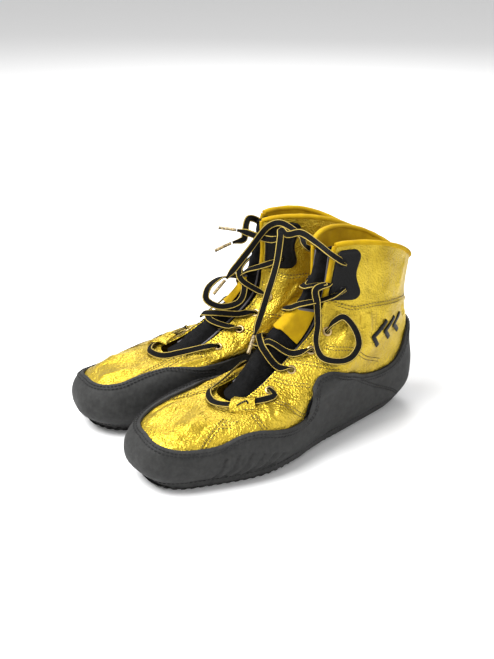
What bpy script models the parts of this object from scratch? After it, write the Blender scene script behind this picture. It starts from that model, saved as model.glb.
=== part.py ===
"""A pair of laced high-top ring boots: lined leather panels, a rubber rand and outsole, tongues and laces.

Each boot is one surface worked out from a stack of rings, from the edge of the sole to the rim of the cuff.
A place on it is (angle, level): the angle runs from 0 at the heel to 180 at the toe, positive on the outer
(lateral) side and negative on the inner (medial) side, and the level counts the rings from the sole up.
Every panel is a patch of that surface, set in or out of it by its own depth.
Frame: metres, +Z up, toes along -Y, the left boot at +X, the soles resting on Z = 0.
"""

import bmesh
import bpy
import numpy as np
from mathutils import Vector

for old in list(bpy.data.objects):
    bpy.data.objects.remove(old, do_unlink=True)

MM = 0.001

# Overall sizes of one boot, in millimetres.
SOLE_LENGTH = 288.0
CUFF_HEIGHT = 165.0
GIRTH_SCALE = 1.0
RING_LENGTH = 288.0
RING_TOP = 165.0
LENGTH_CENTRE = 140.0

# Where the boots stand. Each points its toe outwards by half of the angle between them.
BOOT_SPACING = 100.2
BOOT_STAGGER = 4.4
TOE_OUT = np.radians(6.5)
PAIR_CENTRE_X = 0.0
PAIR_CENTRE_Y = -5.13

# Layers, in millimetres outwards from the face of the leather.
GAP = 0.7
LEATHER = 1.5
LINING = 1.1
LINING_DEPTH = LEATHER + 1.6
COUNTER = 1.1
RAND = 2.4
RAND_GAP = 1.6
PATCH = 1.4
TAG = 1.3
SEAM_GAP = 0.5
VAMP_GAP = 1.2

# Sole stack, in millimetres above the floor.
OUTSOLE_TOP = 4.6
BOARD_BOTTOM = 5.0
BOARD_TOP = 8.1
INSOLE_BOTTOM = 8.5
INSOLE_TOP = 11.7

# Throat, eyelets, tongue and laces.
LACE = 3.0
LACE_CLEARANCE = 0.55
LACE_OVER = 3.4
LACE_UNDER = 5.0
LACE_STEP = 13.0
LACE_REST = 4.1
EYELET_WALL = 0.55
EYELET_SEAT = 1.4
EYELET_FOOT = 0.4
EYELET_FLANGE = 1.7
EYELET_EDGE = 7.0
EYELET_LEVELS = (4.2, 4.75, 5.3, 5.85)
PATCH_HOLES = ((127.0, 6.9), (130.0, 7.55))
TONGUE = 3.0
TONGUE_DEPTH = 4.9
TONGUE_WING = 3.5
KEEPER = 1.2
PATCH_LEVELS = (6.66, 7.86)
PATCH_INSET = 4.0
PATCH_BACK = 109.0
PATCH_WAIST = 6.0
TAG_MIDDLE = 3.75
TAG_RISE = 4.8
LACE_END_GAP = 0.35
AGLET_LENGTH = 22.0
AGLET = 3.4

# Rings of the boot, sole edge to cuff rim, in millimetres: (how far forward and how high its heel end is, the
# same for its toe end, half widths on the outer side at a tenth, four, seven and nine tenths of its length,
# the same on the inner side, shift of the toe towards the inner side, roundness of its ends, and how much
# the outer and the inner side rise between its ends).
RINGS = (
    ((16, 9), (276, 10), (21, 28, 44, 38), (26, 27, 40, 42), -6, 2.9, (0, 0)),
    ((4, 20), (287, 22), (25, 31, 50, 45), (29, 29, 45, 49), -8, 2.9, (0, 0)),
    ((1, 34), (283, 39), (25, 31, 49, 43), (29, 28, 43, 47), -8, 2.8, (0, 0)),
    ((3, 52), (258, 51), (26, 31, 46, 38), (29, 28, 40, 42), -8, 2.6, (0, 0)),
    ((6, 73), (201, 57), (27, 32, 39, 31), (29, 30, 37, 33), -5, 2.4, (0, 0)),
    ((9, 90), (158, 78), (27, 32, 33, 24), (28, 31, 33, 24), -2, 2.3, (0, 0)),
    ((15, 101), (127, 103), (28, 30, 28, 18), (28, 28, 28, 18), 0, 2.2, (0, 0)),
    ((10, 122), (115, 134), (21, 24, 21, 16), (27, 27, 26, 20), 0, 2.2, (5, 8)),
    ((5, 138), (113, 165), (18, 20, 15, 13), (30, 28, 26, 24), 0, 2.2, (15, 18)),
)
WIDTH_PLACES = (0.0, 0.1, 0.4, 0.7, 0.92, 1.0)
TOP_LEVEL = len(RINGS) - 1.0
LOW_LEVEL = -0.16
PANEL_LOW = -0.1
LINING_LOW = 0.02

# Edges of the panels, as (angle, level) points.
RAND_FRONT_TOP = ((-180, 2.4), (-163, 2.46), (-152, 2.65), (-146, 3.1), (-138, 3.32), (-112, 3.1),
                  (-96, 3.2))
RAND_LATERAL_TOP = ((95, 2.25), (113, 2.41), (126, 2.5), (136, 2.1), (146, 2.05), (165, 2.31), (180, 2.4))
RAND_HEEL_TOP = ((-96, 3.2), (-66, 3.0), (-43, 2.85), (-34, 3.2), (-26, 3.9), (-14, 4.35), (0, 4.5),
                 (14, 4.35), (26, 3.9), (34, 3.2), (43, 2.8), (64, 3.14), (98, 4.24), (116, 4.47))
RAND_STEP = ((-0.25, 91), (2.3, 95), (3.4, 103), (4.1, 112), (4.47, 116))
RAND_SPLIT = -96.0
RAND_SPLIT_GAP = 0.6
VAMP_LATERAL = ((-0.25, 140), (2.1, 139), (2.75, 138.5), (3.35, 142), (3.7, 149), (3.9, 156))
VAMP_MEDIAL = ((-0.25, -144), (2.0, -144), (2.8, -146), (3.4, -153), (3.9, -160))
CUFF_SEAM = ((0, 6.2), (42, 6.31), (66, 6.38), (93, 6.43), (117, 6.42), (149, 6.66))
THROAT_LATERAL = ((3.9, 14.5), (4.5, 12.5), (5.0, 11.0), (5.8, 9.8), (6.6, 9.2), (8.0, 9.2))
THROAT_MEDIAL = ((3.9, 19.0), (4.5, 18.0), (5.0, 16.0), (5.8, 13.5), (6.6, 11.0), (8.0, 10.0))
LINING_EDGE = ((0.0, 138), (2.0, 137), (3.0, 136), (3.9, 135), (4.5, 132), (5.3, 128), (5.85, 123),
               (6.9, 117),
               (8.0, 117))
LINING_SETBACK = 8.0
COUNTER_REACH = 50.0
COUNTER_TOP = 3.9
TAG_CORNERS = (((129, 3.36), (147, 4.0)), ((148, 3.5), (169, 4.0)))

# Routes of the laces. The run under the tag is in (angle, level, out) points, and the others are in
# millimetres in the boot's own frame, x towards its outer side and -y towards its toe.
TAG_RUN = ((205, 3.95, 3.4), (195, 3.78, 3.2), (178, 3.72, 3.0), (163, 3.72, 2.9), (148, 3.75, 2.6),
           (132, 3.88, 2.9))
LEFT_SLACK = ((19, 22, 107), (27, 34, 113), (37, 45, 101), (40, 45, 88), (40, 38, 79), (38, 24, 79),
              (31, 16, 89), (25, 16, 103), (20, 17, 110))
RIGHT_SLACK = ((17, 19, 108), (4, 4, 117), (-4, -9, 121), (-8, -19, 114), (-13, -20, 104), (-19, -8, 99),
               (-19, 5, 103), (-8, 14, 114), (8, 18, 117))
LEFT_END_A = ((19, 38, 160), (14, 31, 166), (-5, 32, 170), (-27, 33, 173), (-47, 34, 166), (-58, 36, 167),
              (-50, 29, 163), (-36, 14, 146), (-22, -7, 127), (-8, -28, 109), (3, -45, 94))
LEFT_END_B = ((-27, 37, 161), (-38, 43, 164), (-54, 41, 170), (-65, 38, 171), (-72, 31, 166), (-76, 15, 148),
              (-80, -2, 129), (-84, -19, 111))
RIGHT_END_A = ((-29, 38, 157), (-26, 32, 156), (-16, 24, 157), (-6, 16, 159), (3, 7, 160), (12, -2, 160))
RIGHT_END_B = ((18, 37, 161), (13, 27, 164), (4, 20, 155), (0, 17, 150), (1, 6, 148), (3, -10, 142))


def smooth_curve(at, points):
    """Cubic through (place, value) points, level at both ends, that never overshoots a value."""
    knots, values = np.array(points, float).T
    rise = np.diff(values) / np.diff(knots)
    slope = np.zeros_like(values)
    same_way = rise[:-1] * rise[1:] > 0
    total = np.where(same_way, rise[:-1] + rise[1:], 1.0)
    slope[1:-1] = np.where(same_way, 2 * rise[:-1] * rise[1:] / total, 0.0)
    at = np.clip(at, knots[0], knots[-1])
    i = np.clip(np.searchsorted(knots, at, side="right") - 1, 0, len(knots) - 2)
    width = knots[i + 1] - knots[i]
    t = (at - knots[i]) / width
    start = values[i] * (1 + 2 * t) * (1 - t) ** 2 + slope[i] * width * t * (1 - t) ** 2
    return start + values[i + 1] * t * t * (3 - 2 * t) + slope[i + 1] * width * t * t * (t - 1)


def ease(value, start, end):
    """0 before start, 1 after end, and an S between them."""
    t = np.clip((value - start) / (end - start), 0.0, 1.0)
    return t * t * (3 - 2 * t)


def ring_point(ring, angle):
    """Points of one ring at angles in degrees: a superellipse whose half widths change along its length."""
    heel, toe, lateral, medial, shift, roundness, rise = ring
    turn = np.radians(angle)
    along = (1 - np.cos(turn)) / 2
    outer = smooth_curve(along, list(zip(WIDTH_PLACES, (lateral[0], *lateral, lateral[-1]))))
    inner = smooth_curve(along, list(zip(WIDTH_PLACES, (medial[0], *medial, medial[-1]))))
    swell = (1 - np.abs(2 * along - 1) ** roundness).clip(0) ** (1 / roundness)
    on_outer = np.sin(turn) >= 0
    x = np.where(on_outer, outer, -inner) * swell * GIRTH_SCALE + shift * ease(along, 0.45, 1.0)
    forward = heel[0] + (toe[0] - heel[0]) * along
    lift = np.where(on_outer, rise[0], rise[1]) * (4 * along * (1 - along)).clip(0) ** 0.7
    z = heel[1] + (toe[1] - heel[1]) * along + lift
    length = SOLE_LENGTH / RING_LENGTH
    height = np.where(z > 60, 60 + (z - 60) * (CUFF_HEIGHT - 60) / (RING_TOP - 60), z)
    return np.stack([x, (LENGTH_CENTRE - forward) * length, height], -1)


def surface(angle, level):
    """The face of the leather in millimetres: a cubic through the rings, run on straight below the first."""
    angle, level = np.broadcast_arrays(np.asarray(angle, float), np.asarray(level, float))
    rings = np.stack([ring_point(ring, angle) for ring in RINGS])
    last = len(RINGS) - 1
    i = np.clip(np.floor(level).astype(int), 0, last - 1)
    t = (level - i)[..., None]

    def pick(k):
        return np.take_along_axis(rings, np.clip(k, 0, last)[None, ..., None], 0)[0]

    before, a, b, after = pick(i - 1), pick(i), pick(i + 1), pick(i + 2)
    before = np.where((i == 0)[..., None], 2 * a - b, before)
    after = np.where((i == last - 1)[..., None], 2 * b - a, after)
    bend = (2 * before - 5 * a + 4 * b - after) * t * t + (-before + 3 * a - 3 * b + after) * t ** 3
    curve = 0.5 * (2 * a + (b - before) * t + bend)
    return np.where(t < 0, a + (b - a) * t, curve)


def normal(angle, level):
    """Unit normals that point out of the boot."""
    across = surface(np.add(angle, 0.6), level) - surface(np.subtract(angle, 0.6), level)
    upward = surface(angle, np.add(level, 0.02)) - surface(angle, np.subtract(level, 0.02))
    out = np.cross(upward, across)
    return out / np.linalg.norm(out, axis=-1, keepdims=True)


def place(angle, level, out=0.0):
    """Point of the boot that lies out millimetres off the leather at (angle, level)."""
    out = np.asarray(out, float)[..., None]
    return surface(angle, level) + normal(angle, level) * out


def throat_angle(level, distance):
    """Angle at which the surface is a sideways distance from the line down its front, at each level."""
    fine = np.linspace(90.0, 179.5, 360)
    sign = np.sign(distance)
    level = np.atleast_1d(np.asarray(level, float))
    x = surface(sign * fine[:, None], level[None, :])[..., 0]
    middle = surface(180.0, level)[..., 0]
    reach = np.abs(x - middle)
    wanted = np.broadcast_to(np.abs(distance), level.shape)
    found = [np.interp(w, column[::-1], fine[::-1]) for w, column in zip(wanted, reach.T)]
    return sign * np.array(found)


def front_edge(side):
    """Function of level that gives the angle of a quarter's front edge: the vamp seam, then the throat."""
    seam = VAMP_LATERAL if side > 0 else VAMP_MEDIAL
    throat = THROAT_LATERAL if side > 0 else THROAT_MEDIAL
    levels = np.linspace(3.9, TOP_LEVEL, 24)
    angles = throat_angle(levels, side * smooth_curve(levels, throat))
    points = [p for p in seam if p[0] < 3.9] + list(zip(levels, angles))

    def edge(level):
        return smooth_curve(level, points)

    return edge


def patch(left, right, low, high, columns, rows):
    """Grid of (angle, level) between two side edges and a lower and an upper edge."""
    u, v = np.meshgrid(np.linspace(0, 1, columns), np.linspace(0, 1, rows), indexing="ij")
    level = low(0 * u) + (high(0 * u) - low(0 * u)) * v
    angle = left(level) * (1 - u) + right(level) * u
    for _ in range(12):
        level = low(angle) * (1 - v) + high(angle) * v
        angle = left(level) * (1 - u) + right(level) * u
    return angle, level


def along(points):
    """Edge given as points, as a function."""
    return lambda at: smooth_curve(at, points)


def fixed(value):
    """Edge that stays at one value."""
    return lambda at: np.full_like(np.asarray(at, float), value)


def mirrored(points):
    """Edge of the inner side made from an outer one."""
    return [(-angle, level) for angle, level in points[::-1]]


def drawn_in(grid, gap):
    """The grid with its outer rows and columns moved in, so that it clears its neighbours."""
    grid = grid.copy()
    for axis in (0, 1):
        for edge, inner in ((0, 1), (-1, -2)):
            line = [slice(None)] * 2
            line[axis] = edge
            beside = [slice(None)] * 2
            beside[axis] = inner
            step = grid[tuple(beside)] - grid[tuple(line)]
            size = np.linalg.norm(step, axis=-1, keepdims=True)
            grid[tuple(line)] += step / np.maximum(size, 1e-6) * np.minimum(gap, size * 0.6)
    return grid


def material(name, colour, roughness, metallic=0.0):
    made = bpy.data.materials.get(name) or bpy.data.materials.new(name)
    made.use_nodes = True
    shader = made.node_tree.nodes["Principled BSDF"]
    shader.inputs["Base Color"].default_value = (*colour, 1.0)
    shader.inputs["Roughness"].default_value = roughness
    shader.inputs["Metallic"].default_value = metallic
    return made


GOLD = material("gold_leather", (0.62, 0.42, 0.07), 0.38, 0.75)
RUBBER = material("black_rubber", (0.03, 0.03, 0.033), 0.75)
YELLOW = material("yellow_lining", (0.70, 0.44, 0.01), 0.85)
TEXTILE = material("black_textile", (0.02, 0.02, 0.02), 0.9)
CORD = material("black_lace", (0.02, 0.02, 0.02), 0.8)
BRASS = material("brass", (0.55, 0.40, 0.18), 0.35, 1.0)
FOAM = material("foam", (0.12, 0.12, 0.12), 0.9)
BOARD = material("fibre_board", (0.45, 0.38, 0.25), 0.9)
TIP = material("lace_tip", (0.60, 0.50, 0.30), 0.4)

parts = bpy.data.collections.new("boxing_boots")
bpy.context.scene.collection.children.link(parts)
cutters = bpy.data.collections.new("cutters")
bpy.context.scene.collection.children.link(cutters)


def add_object(name, data, parent, finish, group=parts):
    obj = bpy.data.objects.new(name, data)
    group.objects.link(obj)
    obj.parent = parent
    if finish:
        data.materials.append(finish)
    return obj


def local(points, side):
    """Points in metres in the boot's own frame, mirrored for the right boot."""
    points = np.asarray(points, float) * MM
    return points * (side, 1.0, 1.0)


TURNED = (0, 3, 2, 1)


def shell(name, boot, outer, inner, finish):
    """Closed piece lofted between two grids of points, an outer and an inner face, walled round the edge."""
    side = boot["side"]
    columns, rows = outer.shape[:2]
    index = np.arange(columns * rows).reshape(columns, rows)
    face = np.stack([index[:-1, :-1], index[:-1, 1:], index[1:, 1:], index[1:, :-1]], -1).reshape(-1, 4)
    rim = np.concatenate([index[:-1, 0], index[-1, :-1], index[:0:-1, -1], index[0, :0:-1]])
    ahead = np.roll(rim, -1)
    below = columns * rows
    wall = np.stack([rim, ahead, ahead + below, rim + below], -1)
    faces = np.concatenate([face, face[:, ::-1] + below, wall])
    if side < 0:
        faces = faces[:, TURNED]
    mesh = bpy.data.meshes.new(name)
    points = np.concatenate([local(outer, side).reshape(-1, 3), local(inner, side).reshape(-1, 3)])
    mesh.from_pydata(points.tolist(), [], faces.tolist())
    mesh.shade_smooth()
    mesh.set_sharp_from_angle(angle=np.radians(40))
    return add_object(name, mesh, boot["empty"], finish)


def layer(name, boot, grid, out, thickness, finish):
    """Shell over a grid of (angle, level), its face out millimetres off the leather's, clear of the rest."""
    outer = drawn_in(place(*grid, out), SEAM_GAP)
    inner = drawn_in(place(*grid, out - thickness), SEAM_GAP)
    return shell(name, boot, outer, inner, finish)


def slab(name, boot, levels, finish):
    """Closed solid through outlines, each a (height, inset) in millimetres around the edge of the sole."""
    side = boot["side"]
    angle = np.linspace(-180, 180, 49)[:-1]
    outline = surface(angle, 0.0)
    ahead = np.roll(outline, -1, 0) - np.roll(outline, 1, 0)
    outward = np.stack([-ahead[:, 1], ahead[:, 0], 0 * ahead[:, 0]], -1)
    outward /= np.linalg.norm(outward, axis=-1, keepdims=True)
    mesh = bpy.data.meshes.new(name)
    build = bmesh.new()
    loops = []
    for height, inset in levels:
        points = outline - outward * inset
        points[:, 2] = height
        loops.append([build.verts.new(p) for p in local(points, side)])
    build.faces.new(loops[0])
    build.faces.new(loops[-1][::-1])
    for lower, upper in zip(loops, loops[1:]):
        for i in range(len(lower)):
            j = (i + 1) % len(lower)
            build.faces.new((lower[j], lower[i], upper[i], upper[j]))
    bmesh.ops.recalc_face_normals(build, faces=build.faces)
    build.to_mesh(mesh)
    build.free()
    return add_object(name, mesh, boot["empty"], finish)


def turned(name, boot, profile, centre, axis, finish):
    """Turned piece: an (radius, height) profile that a Screw modifier carries round its own Z."""
    mesh = bpy.data.meshes.new(name)
    points = [(r * MM, 0.0, h * MM) for r, h in profile]
    edges = [(i, (i + 1) % len(points)) for i in range(len(points))]
    mesh.from_pydata(points, edges, [])
    obj = add_object(name, mesh, boot["empty"], finish)
    aim(obj, centre, axis, boot["side"])
    turn = obj.modifiers.new("turn", "SCREW")
    turn.steps = 10
    turn.render_steps = 10
    turn.use_merge_vertices = True
    turn.merge_threshold = 0.00001
    turn.use_normal_calculate = True
    return obj


def aim(obj, centre, axis, side):
    """Puts an object at a point of the boot with its Z along an axis, both given in millimetres."""
    obj.location = Vector(local(centre, side))
    obj.rotation_mode = "QUATERNION"
    obj.rotation_quaternion = Vector(local(axis, side)).to_track_quat("Z", "Y")


def cut_hole(pieces, boot, centre, axis, radius, name):
    """Round hole through pieces, made by a cylinder on the given axis."""
    mesh = bpy.data.meshes.new(name)
    build = bmesh.new()
    bmesh.ops.create_cone(build, cap_ends=True, segments=10, radius1=radius * MM, radius2=radius * MM,
                          depth=16 * MM)
    build.to_mesh(mesh)
    build.free()
    cutter = add_object(name, mesh, boot["empty"], None, cutters)
    cutter.hide_render = True
    cutter.display_type = "WIRE"
    aim(cutter, centre, axis, boot["side"])
    for piece in pieces:
        hole = piece.modifiers.new(name, "BOOLEAN")
        hole.object = cutter
        hole.operation = "DIFFERENCE"


def smooth_route(points, step):
    """Points on a smooth curve through the given ones, each span cut into pieces of about one step."""
    points = np.asarray(points, float)
    ends = np.vstack([2 * points[0] - points[1], points, 2 * points[-1] - points[-2]])
    route = [points[0]]
    for before, a, b, after in zip(ends, ends[1:], ends[2:], ends[3:]):
        span = np.linalg.norm(b - a)
        pieces = max(1, int(np.ceil(span / step)))
        reach_a = span / max(span + np.linalg.norm(a - before), 1e-6)
        reach_b = span / max(span + np.linalg.norm(after - b), 1e-6)
        slope_a = (b - before) * reach_a
        slope_b = (after - a) * reach_b
        for t in np.arange(1, pieces + 1) / pieces:
            start = a * (1 + 2 * t) * (1 - t) ** 2 + slope_a * t * (1 - t) ** 2
            route.append(start + b * t * t * (3 - 2 * t) + slope_b * t * t * (t - 1))
    return np.array(route)


def tube(name, boot, points, diameter, finish):
    """Round cord or tip along points in millimetres, as a curve with filled ends."""
    curve = bpy.data.curves.new(name, "CURVE")
    curve.dimensions = "3D"
    curve.bevel_depth = diameter / 2 * MM
    curve.bevel_resolution = 2
    curve.use_fill_caps = True
    line = curve.splines.new("POLY")
    points = local(points, boot["side"])
    line.points.add(len(points) - 1)
    line.points.foreach_set("co", np.column_stack([points, np.ones(len(points))]).ravel())
    return add_object(name, curve, boot["empty"], finish)


def throat_gap(side, level):
    """Sideways distance from the middle of the boot to a quarter's front edge."""
    return smooth_curve(level, THROAT_LATERAL if side > 0 else THROAT_MEDIAL)


def sideways(level, distance):
    """Angles at sideways distances from the middle of the boot, one for each level."""
    level, distance = np.broadcast_arrays(np.atleast_1d(np.asarray(level, float)), distance)
    distance = np.where(distance == 0, 0.05, distance)
    return np.array([float(throat_angle(one, far)[0]) for one, far in zip(level, distance)])


def lining_depth(angle, level):
    """How far the lining lies under the leather's face: further in where it covers the heel counter."""
    room = (COUNTER + 2 * GAP) * (1 - ease(np.abs(angle), COUNTER_REACH + 3, COUNTER_REACH + 16))
    return LINING_DEPTH + room * (1 - ease(level, COUNTER_TOP + 0.15, COUNTER_TOP + 0.7))


def tongue_point(boot, level, distance, out=0.0):
    """Point off the tongue's face: its wings lie under the quarters and its middle swells forward."""
    level, distance = np.broadcast_arrays(np.atleast_1d(np.asarray(level, float)), distance)
    gap = np.where(distance > 0, throat_gap(1, level), throat_gap(-1, level))
    middle = 1 - ease(np.abs(distance) / gap, 0.55, 0.92)
    swell = (smooth_curve(level, boot["tongue_swell"]) + TONGUE_DEPTH) * middle
    forward = normal(180.0, level) * (0, 1, 1)
    return place(sideways(level, distance), level, out - TONGUE_DEPTH) + forward * swell[:, None]


def tongue_grid(boot, low, high, left, right, columns, rows, out):
    """Points off the tongue's face between two levels and two side edges, given as shares of the throat."""
    levels = np.linspace(low, high, rows)
    wing = TONGUE_WING * (1 - 0.9 * ease(levels, 6.2, 6.7))
    lines = []
    for share in np.linspace(left, right, columns):
        side = 1 if share > 0 else -1
        gap = throat_gap(side, levels)
        distance = share * gap if abs(share) <= 1 else side * (gap + (abs(share) - 1) * wing)
        lines.append(tongue_point(boot, levels, distance, out))
    return np.array(lines)


def eyelet_places(side):
    """(angle, level) of one side's eyelets, from the vamp up, and of the two holes in its lace patch."""
    levels = np.array(EYELET_LEVELS)
    angles = sideways(levels, side * (throat_gap(side, levels) + EYELET_EDGE))
    return list(zip(angles, levels)) + [(side * angle, level) for angle, level in PATCH_HOLES]


def through(hole, inwards):
    """The lace's way through a hole, along its axis."""
    points = [place(*hole, out) for out in (LACE_OVER, -LACE_UNDER)]
    return points if inwards else points[::-1]


def crossing(boot, start, end, side, over):
    """The lace's way over the tongue from a hole on one side to a hole on the other."""
    points = []
    for share, way in ((0.16, 1.0), (0.34, 0.5), (0.5, 0.0), (0.66, -0.5), (0.84, -1.0)):
        level = start[1] + (end[1] - start[1]) * share
        on = side if way >= 0 else -side
        distance = on * float(throat_gap(on, level)) * abs(way)
        if abs(way) < 1:
            points.append(tongue_point(boot, level, distance, LACE_REST + over)[0])
        else:
            points.append(place(sideways(level, distance)[0], level, LACE_REST))
    return points


def lace_half(boot, side):
    """One half of the lace, from the tag to the upper hole of the lace patch, as a list of points."""
    near, far = eyelet_places(side), eyelet_places(-side)
    over = LACE + 0.7 if side > 0 else 0.0
    route = []
    route += through(near[0], True) + [under(near[0], near[1])] + through(near[1], False)
    route += crossing(boot, near[1], far[2], side, over)
    route += through(far[2], True) + [under(far[2], far[3])] + through(far[3], False)
    if side < 0:
        route += [np.array(point, float) for point in boot["slack"]]
    route += crossing(boot, far[3], near[4], -side, over)
    route += through(near[4], True) + [under(near[4], near[5])] + through(near[5], False)
    return route


def under(hole, following):
    """Point half way between two holes, under the lining."""
    return place((hole[0] + following[0]) / 2, (hole[1] + following[1]) / 2, -LACE_UNDER - 0.7)


def tag_lift(grid_level):
    """The tag stands off the leather in its middle, where the lace runs through it."""
    middle = 1 - ease(np.abs(grid_level - TAG_MIDDLE), 0.04, 0.28)
    return GAP + TAG + (TAG_RISE - GAP) * middle


def make_sole(boot):
    """Outsole, fibre board and footbed, stacked inside the lower edge of the rand."""
    name = boot["name"]
    slab(name + "_outsole", boot, ((0.0, 6.5), (2.2, 1.6), (OUTSOLE_TOP, -1.6)), RUBBER)
    slab(name + "_insole_board", boot, ((BOARD_BOTTOM, 4.6), (BOARD_TOP, 4.4)), BOARD)
    slab(name + "_insole", boot, ((INSOLE_BOTTOM, 6.4), (INSOLE_TOP, 6.0)), FOAM)


def make_rand(boot):
    """Rubber rand in two pieces: round the toe and forefoot, and the high one round the heel."""
    name = boot["name"]
    step = along(RAND_STEP)
    toe_top = along(RAND_FRONT_TOP)
    side_top = along(RAND_LATERAL_TOP)

    def front_top(angle):
        return np.where(angle > 180, toe_top(angle - 360), side_top(angle))

    front = patch(step, fixed(360 + RAND_SPLIT), fixed(LOW_LEVEL), front_top, 25, 5)
    heel = patch(fixed(RAND_SPLIT + RAND_SPLIT_GAP), step, fixed(LOW_LEVEL), along(RAND_HEEL_TOP), 29, 6)
    for part, grid in (("rand_front", front), ("rand_heel", heel)):
        layer(f"{name}_{part}", boot, grid, RAND_GAP + RAND, RAND, RUBBER)


def make_upper(boot):
    """Leather panels, heel counter and linings. Returns the panels that the eyelets and patch holes pass."""
    name = boot["name"]
    lateral, medial = front_edge(1), front_edge(-1)

    def vamp_lateral(level):
        return lateral(level) + VAMP_GAP

    def vamp_medial(level):
        return 360 + medial(level) - VAMP_GAP

    seam = along(CUFF_SEAM)
    inner_seam = along(mirrored(CUFF_SEAM))
    throat_base = fixed(3.9)
    lining_front = along(LINING_EDGE)
    panels = {
        "vamp": (patch(vamp_lateral, vamp_medial, fixed(PANEL_LOW), throat_base, 15, 9), LEATHER, GOLD),
        "quarter_lateral": (patch(fixed(0), lateral, fixed(PANEL_LOW), seam, 17, 11), LEATHER, GOLD),
        "quarter_medial": (patch(medial, fixed(0), fixed(PANEL_LOW), inner_seam, 17, 11), LEATHER, GOLD),
        "cuff": (patch(medial, lateral, lambda a: seam(np.abs(a)), fixed(TOP_LEVEL), 25, 4), LEATHER, GOLD),
        "vamp_lining": (patch(vamp_lateral, vamp_medial, fixed(LINING_LOW), throat_base, 13, 7),
                        LINING, TEXTILE),
        "quarter_lining": (patch(lambda h: LINING_SETBACK - lining_front(h), lining_front, fixed(LINING_LOW),
                                 fixed(TOP_LEVEL), 29, 12),
                           LINING, YELLOW),
        "heel_counter": (patch(fixed(-COUNTER_REACH), fixed(COUNTER_REACH), fixed(0.3), fixed(COUNTER_TOP),
                               13, 5),
                         COUNTER, BOARD),
    }
    made = {}
    for part, (grid, thickness, finish) in panels.items():
        if part.endswith("lining"):
            out = -lining_depth(*grid)
        else:
            out = -LINING_DEPTH if part == "heel_counter" else 0.0
        made[part] = layer(f"{name}_{part}", boot, grid, out, thickness, finish)
    return made


def make_lace_patch(boot, side, word):
    """Rubber patch on the cuff beside its front edge, narrower in the middle, with two lace holes."""
    front = front_edge(side)
    low, high = PATCH_LEVELS
    u, v = np.meshgrid(np.linspace(0, 1, 6), np.linspace(0, 1, 6), indexing="ij")
    level = low + (high - low) * v
    waist = PATCH_WAIST * np.sin(np.pi * v) ** 2
    ahead = np.abs(front(level)) - PATCH_INSET
    behind = PATCH_BACK + waist
    angle = side * (behind + (ahead - behind) * u)
    if side < 0:
        angle, level = angle[::-1], level[::-1]
    return layer(f"{boot['name']}_lace_patch_{word}", boot, (angle, level), GAP + PATCH, PATCH, RUBBER)


def make_eyelets(boot, made):
    """Eyelets and lace holes of both sides, with the holes cut through every layer they pass."""
    bore = LACE / 2 + LACE_CLEARANCE
    barrel = bore + EYELET_WALL
    flange = barrel + EYELET_FLANGE
    foot = -(LEATHER + EYELET_FOOT)
    seat = EYELET_SEAT
    profile = ((bore, seat + 0.7), (flange, seat + 0.5), (flange, seat), (barrel, seat), (barrel, foot),
               (bore, foot))
    for side, word in ((1, "lateral"), (-1, "medial")):
        rubber = make_lace_patch(boot, side, word)
        for number, (angle, level) in enumerate(eyelet_places(side)):
            centre, axis = place(angle, level), normal(angle, level)
            if number < len(EYELET_LEVELS):
                leather, radius = made["quarter_" + word], barrel + 0.25
                turned(f"{boot['name']}_eyelet_{word}_{number + 1}", boot, profile, centre, axis, BRASS)
                pieces = [leather]
            else:
                radius = bore + 0.1
                pieces = [rubber, made["cuff"]]
            cut_hole(pieces, boot, centre, axis, radius, f"{boot['name']}_hole_{word}_{number + 1}")


def make_tag(boot):
    """Leather tab stitched over the foot of the throat. The lace runs through it."""
    u, v = np.meshgrid(np.linspace(0, 1, 5), np.linspace(0, 1, 7), indexing="ij")
    low_side, high_side = TAG_CORNERS
    angle = (low_side[0][0] * (1 - v) + low_side[1][0] * v) * (1 - u)
    angle += (high_side[0][0] * (1 - v) + high_side[1][0] * v) * u
    level = (low_side[0][1] * (1 - v) + low_side[1][1] * v) * (1 - u)
    level += (high_side[0][1] * (1 - v) + high_side[1][1] * v) * u
    layer(boot["name"] + "_lace_tag", boot, (angle, level), tag_lift(level), TAG, GOLD)


def make_tongue(boot):
    """Tongue on its hinge line at the foot of the throat, and the keeper stitched on its face."""
    name = boot["name"]
    hinge = bpy.data.objects.new(name + "_tongue_hinge", None)
    parts.objects.link(hinge)
    hinge.parent = boot["empty"]
    hinge.location = local(tongue_hinge(), boot["side"])
    pieces = (("tongue", (4.0, 7.95, 2.0, -2.0, 13, 14), 0.0, TONGUE, TEXTILE),
              ("tongue_keeper", (5.6, 6.3, 0.45, -0.5, 6, 6), GAP + KEEPER, KEEPER, YELLOW))
    for part, span, out, thickness, finish in pieces:
        outer = tongue_grid(boot, *span, out) - tongue_hinge()
        inner = tongue_grid(boot, *span, out - thickness) - tongue_hinge()
        obj = shell(f"{name}_{part}", boot, outer, inner, finish)
        obj.parent = hinge


def tongue_hinge():
    """Middle of the line that the tongue turns on, under the foot of the throat, in millimetres."""
    return place(180.0, 4.0, -TONGUE_DEPTH - TONGUE / 2)


def make_laces(boot):
    """The threaded lace, its two free ends and their tips."""
    name = boot["name"]
    tag_run = [place(*point) for point in TAG_RUN]
    threaded = lace_half(boot, -1)[::-1] + tag_run + lace_half(boot, 1)
    threaded = smooth_route(threaded, LACE_STEP)
    tube(name + "_lace_threaded", boot, threaded, LACE, CORD)
    for word, side, end in (("a", boot["side_a"], boot["end_a"]), ("b", -boot["side_a"], boot["end_b"])):
        hole = eyelet_places(side)[-1]
        leaving = [place(*hole, LACE_OVER + LACE_END_GAP), place(*hole, LACE_OVER + 2.0)]
        route = smooth_route(leaving + list(end), LACE_STEP)
        cord, tip = split_off(route, AGLET_LENGTH)
        tube(f"{name}_lace_end_{word}", boot, cord, LACE, CORD)
        tube(f"{name}_aglet_{word}", boot, tip, AGLET, TIP)


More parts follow.
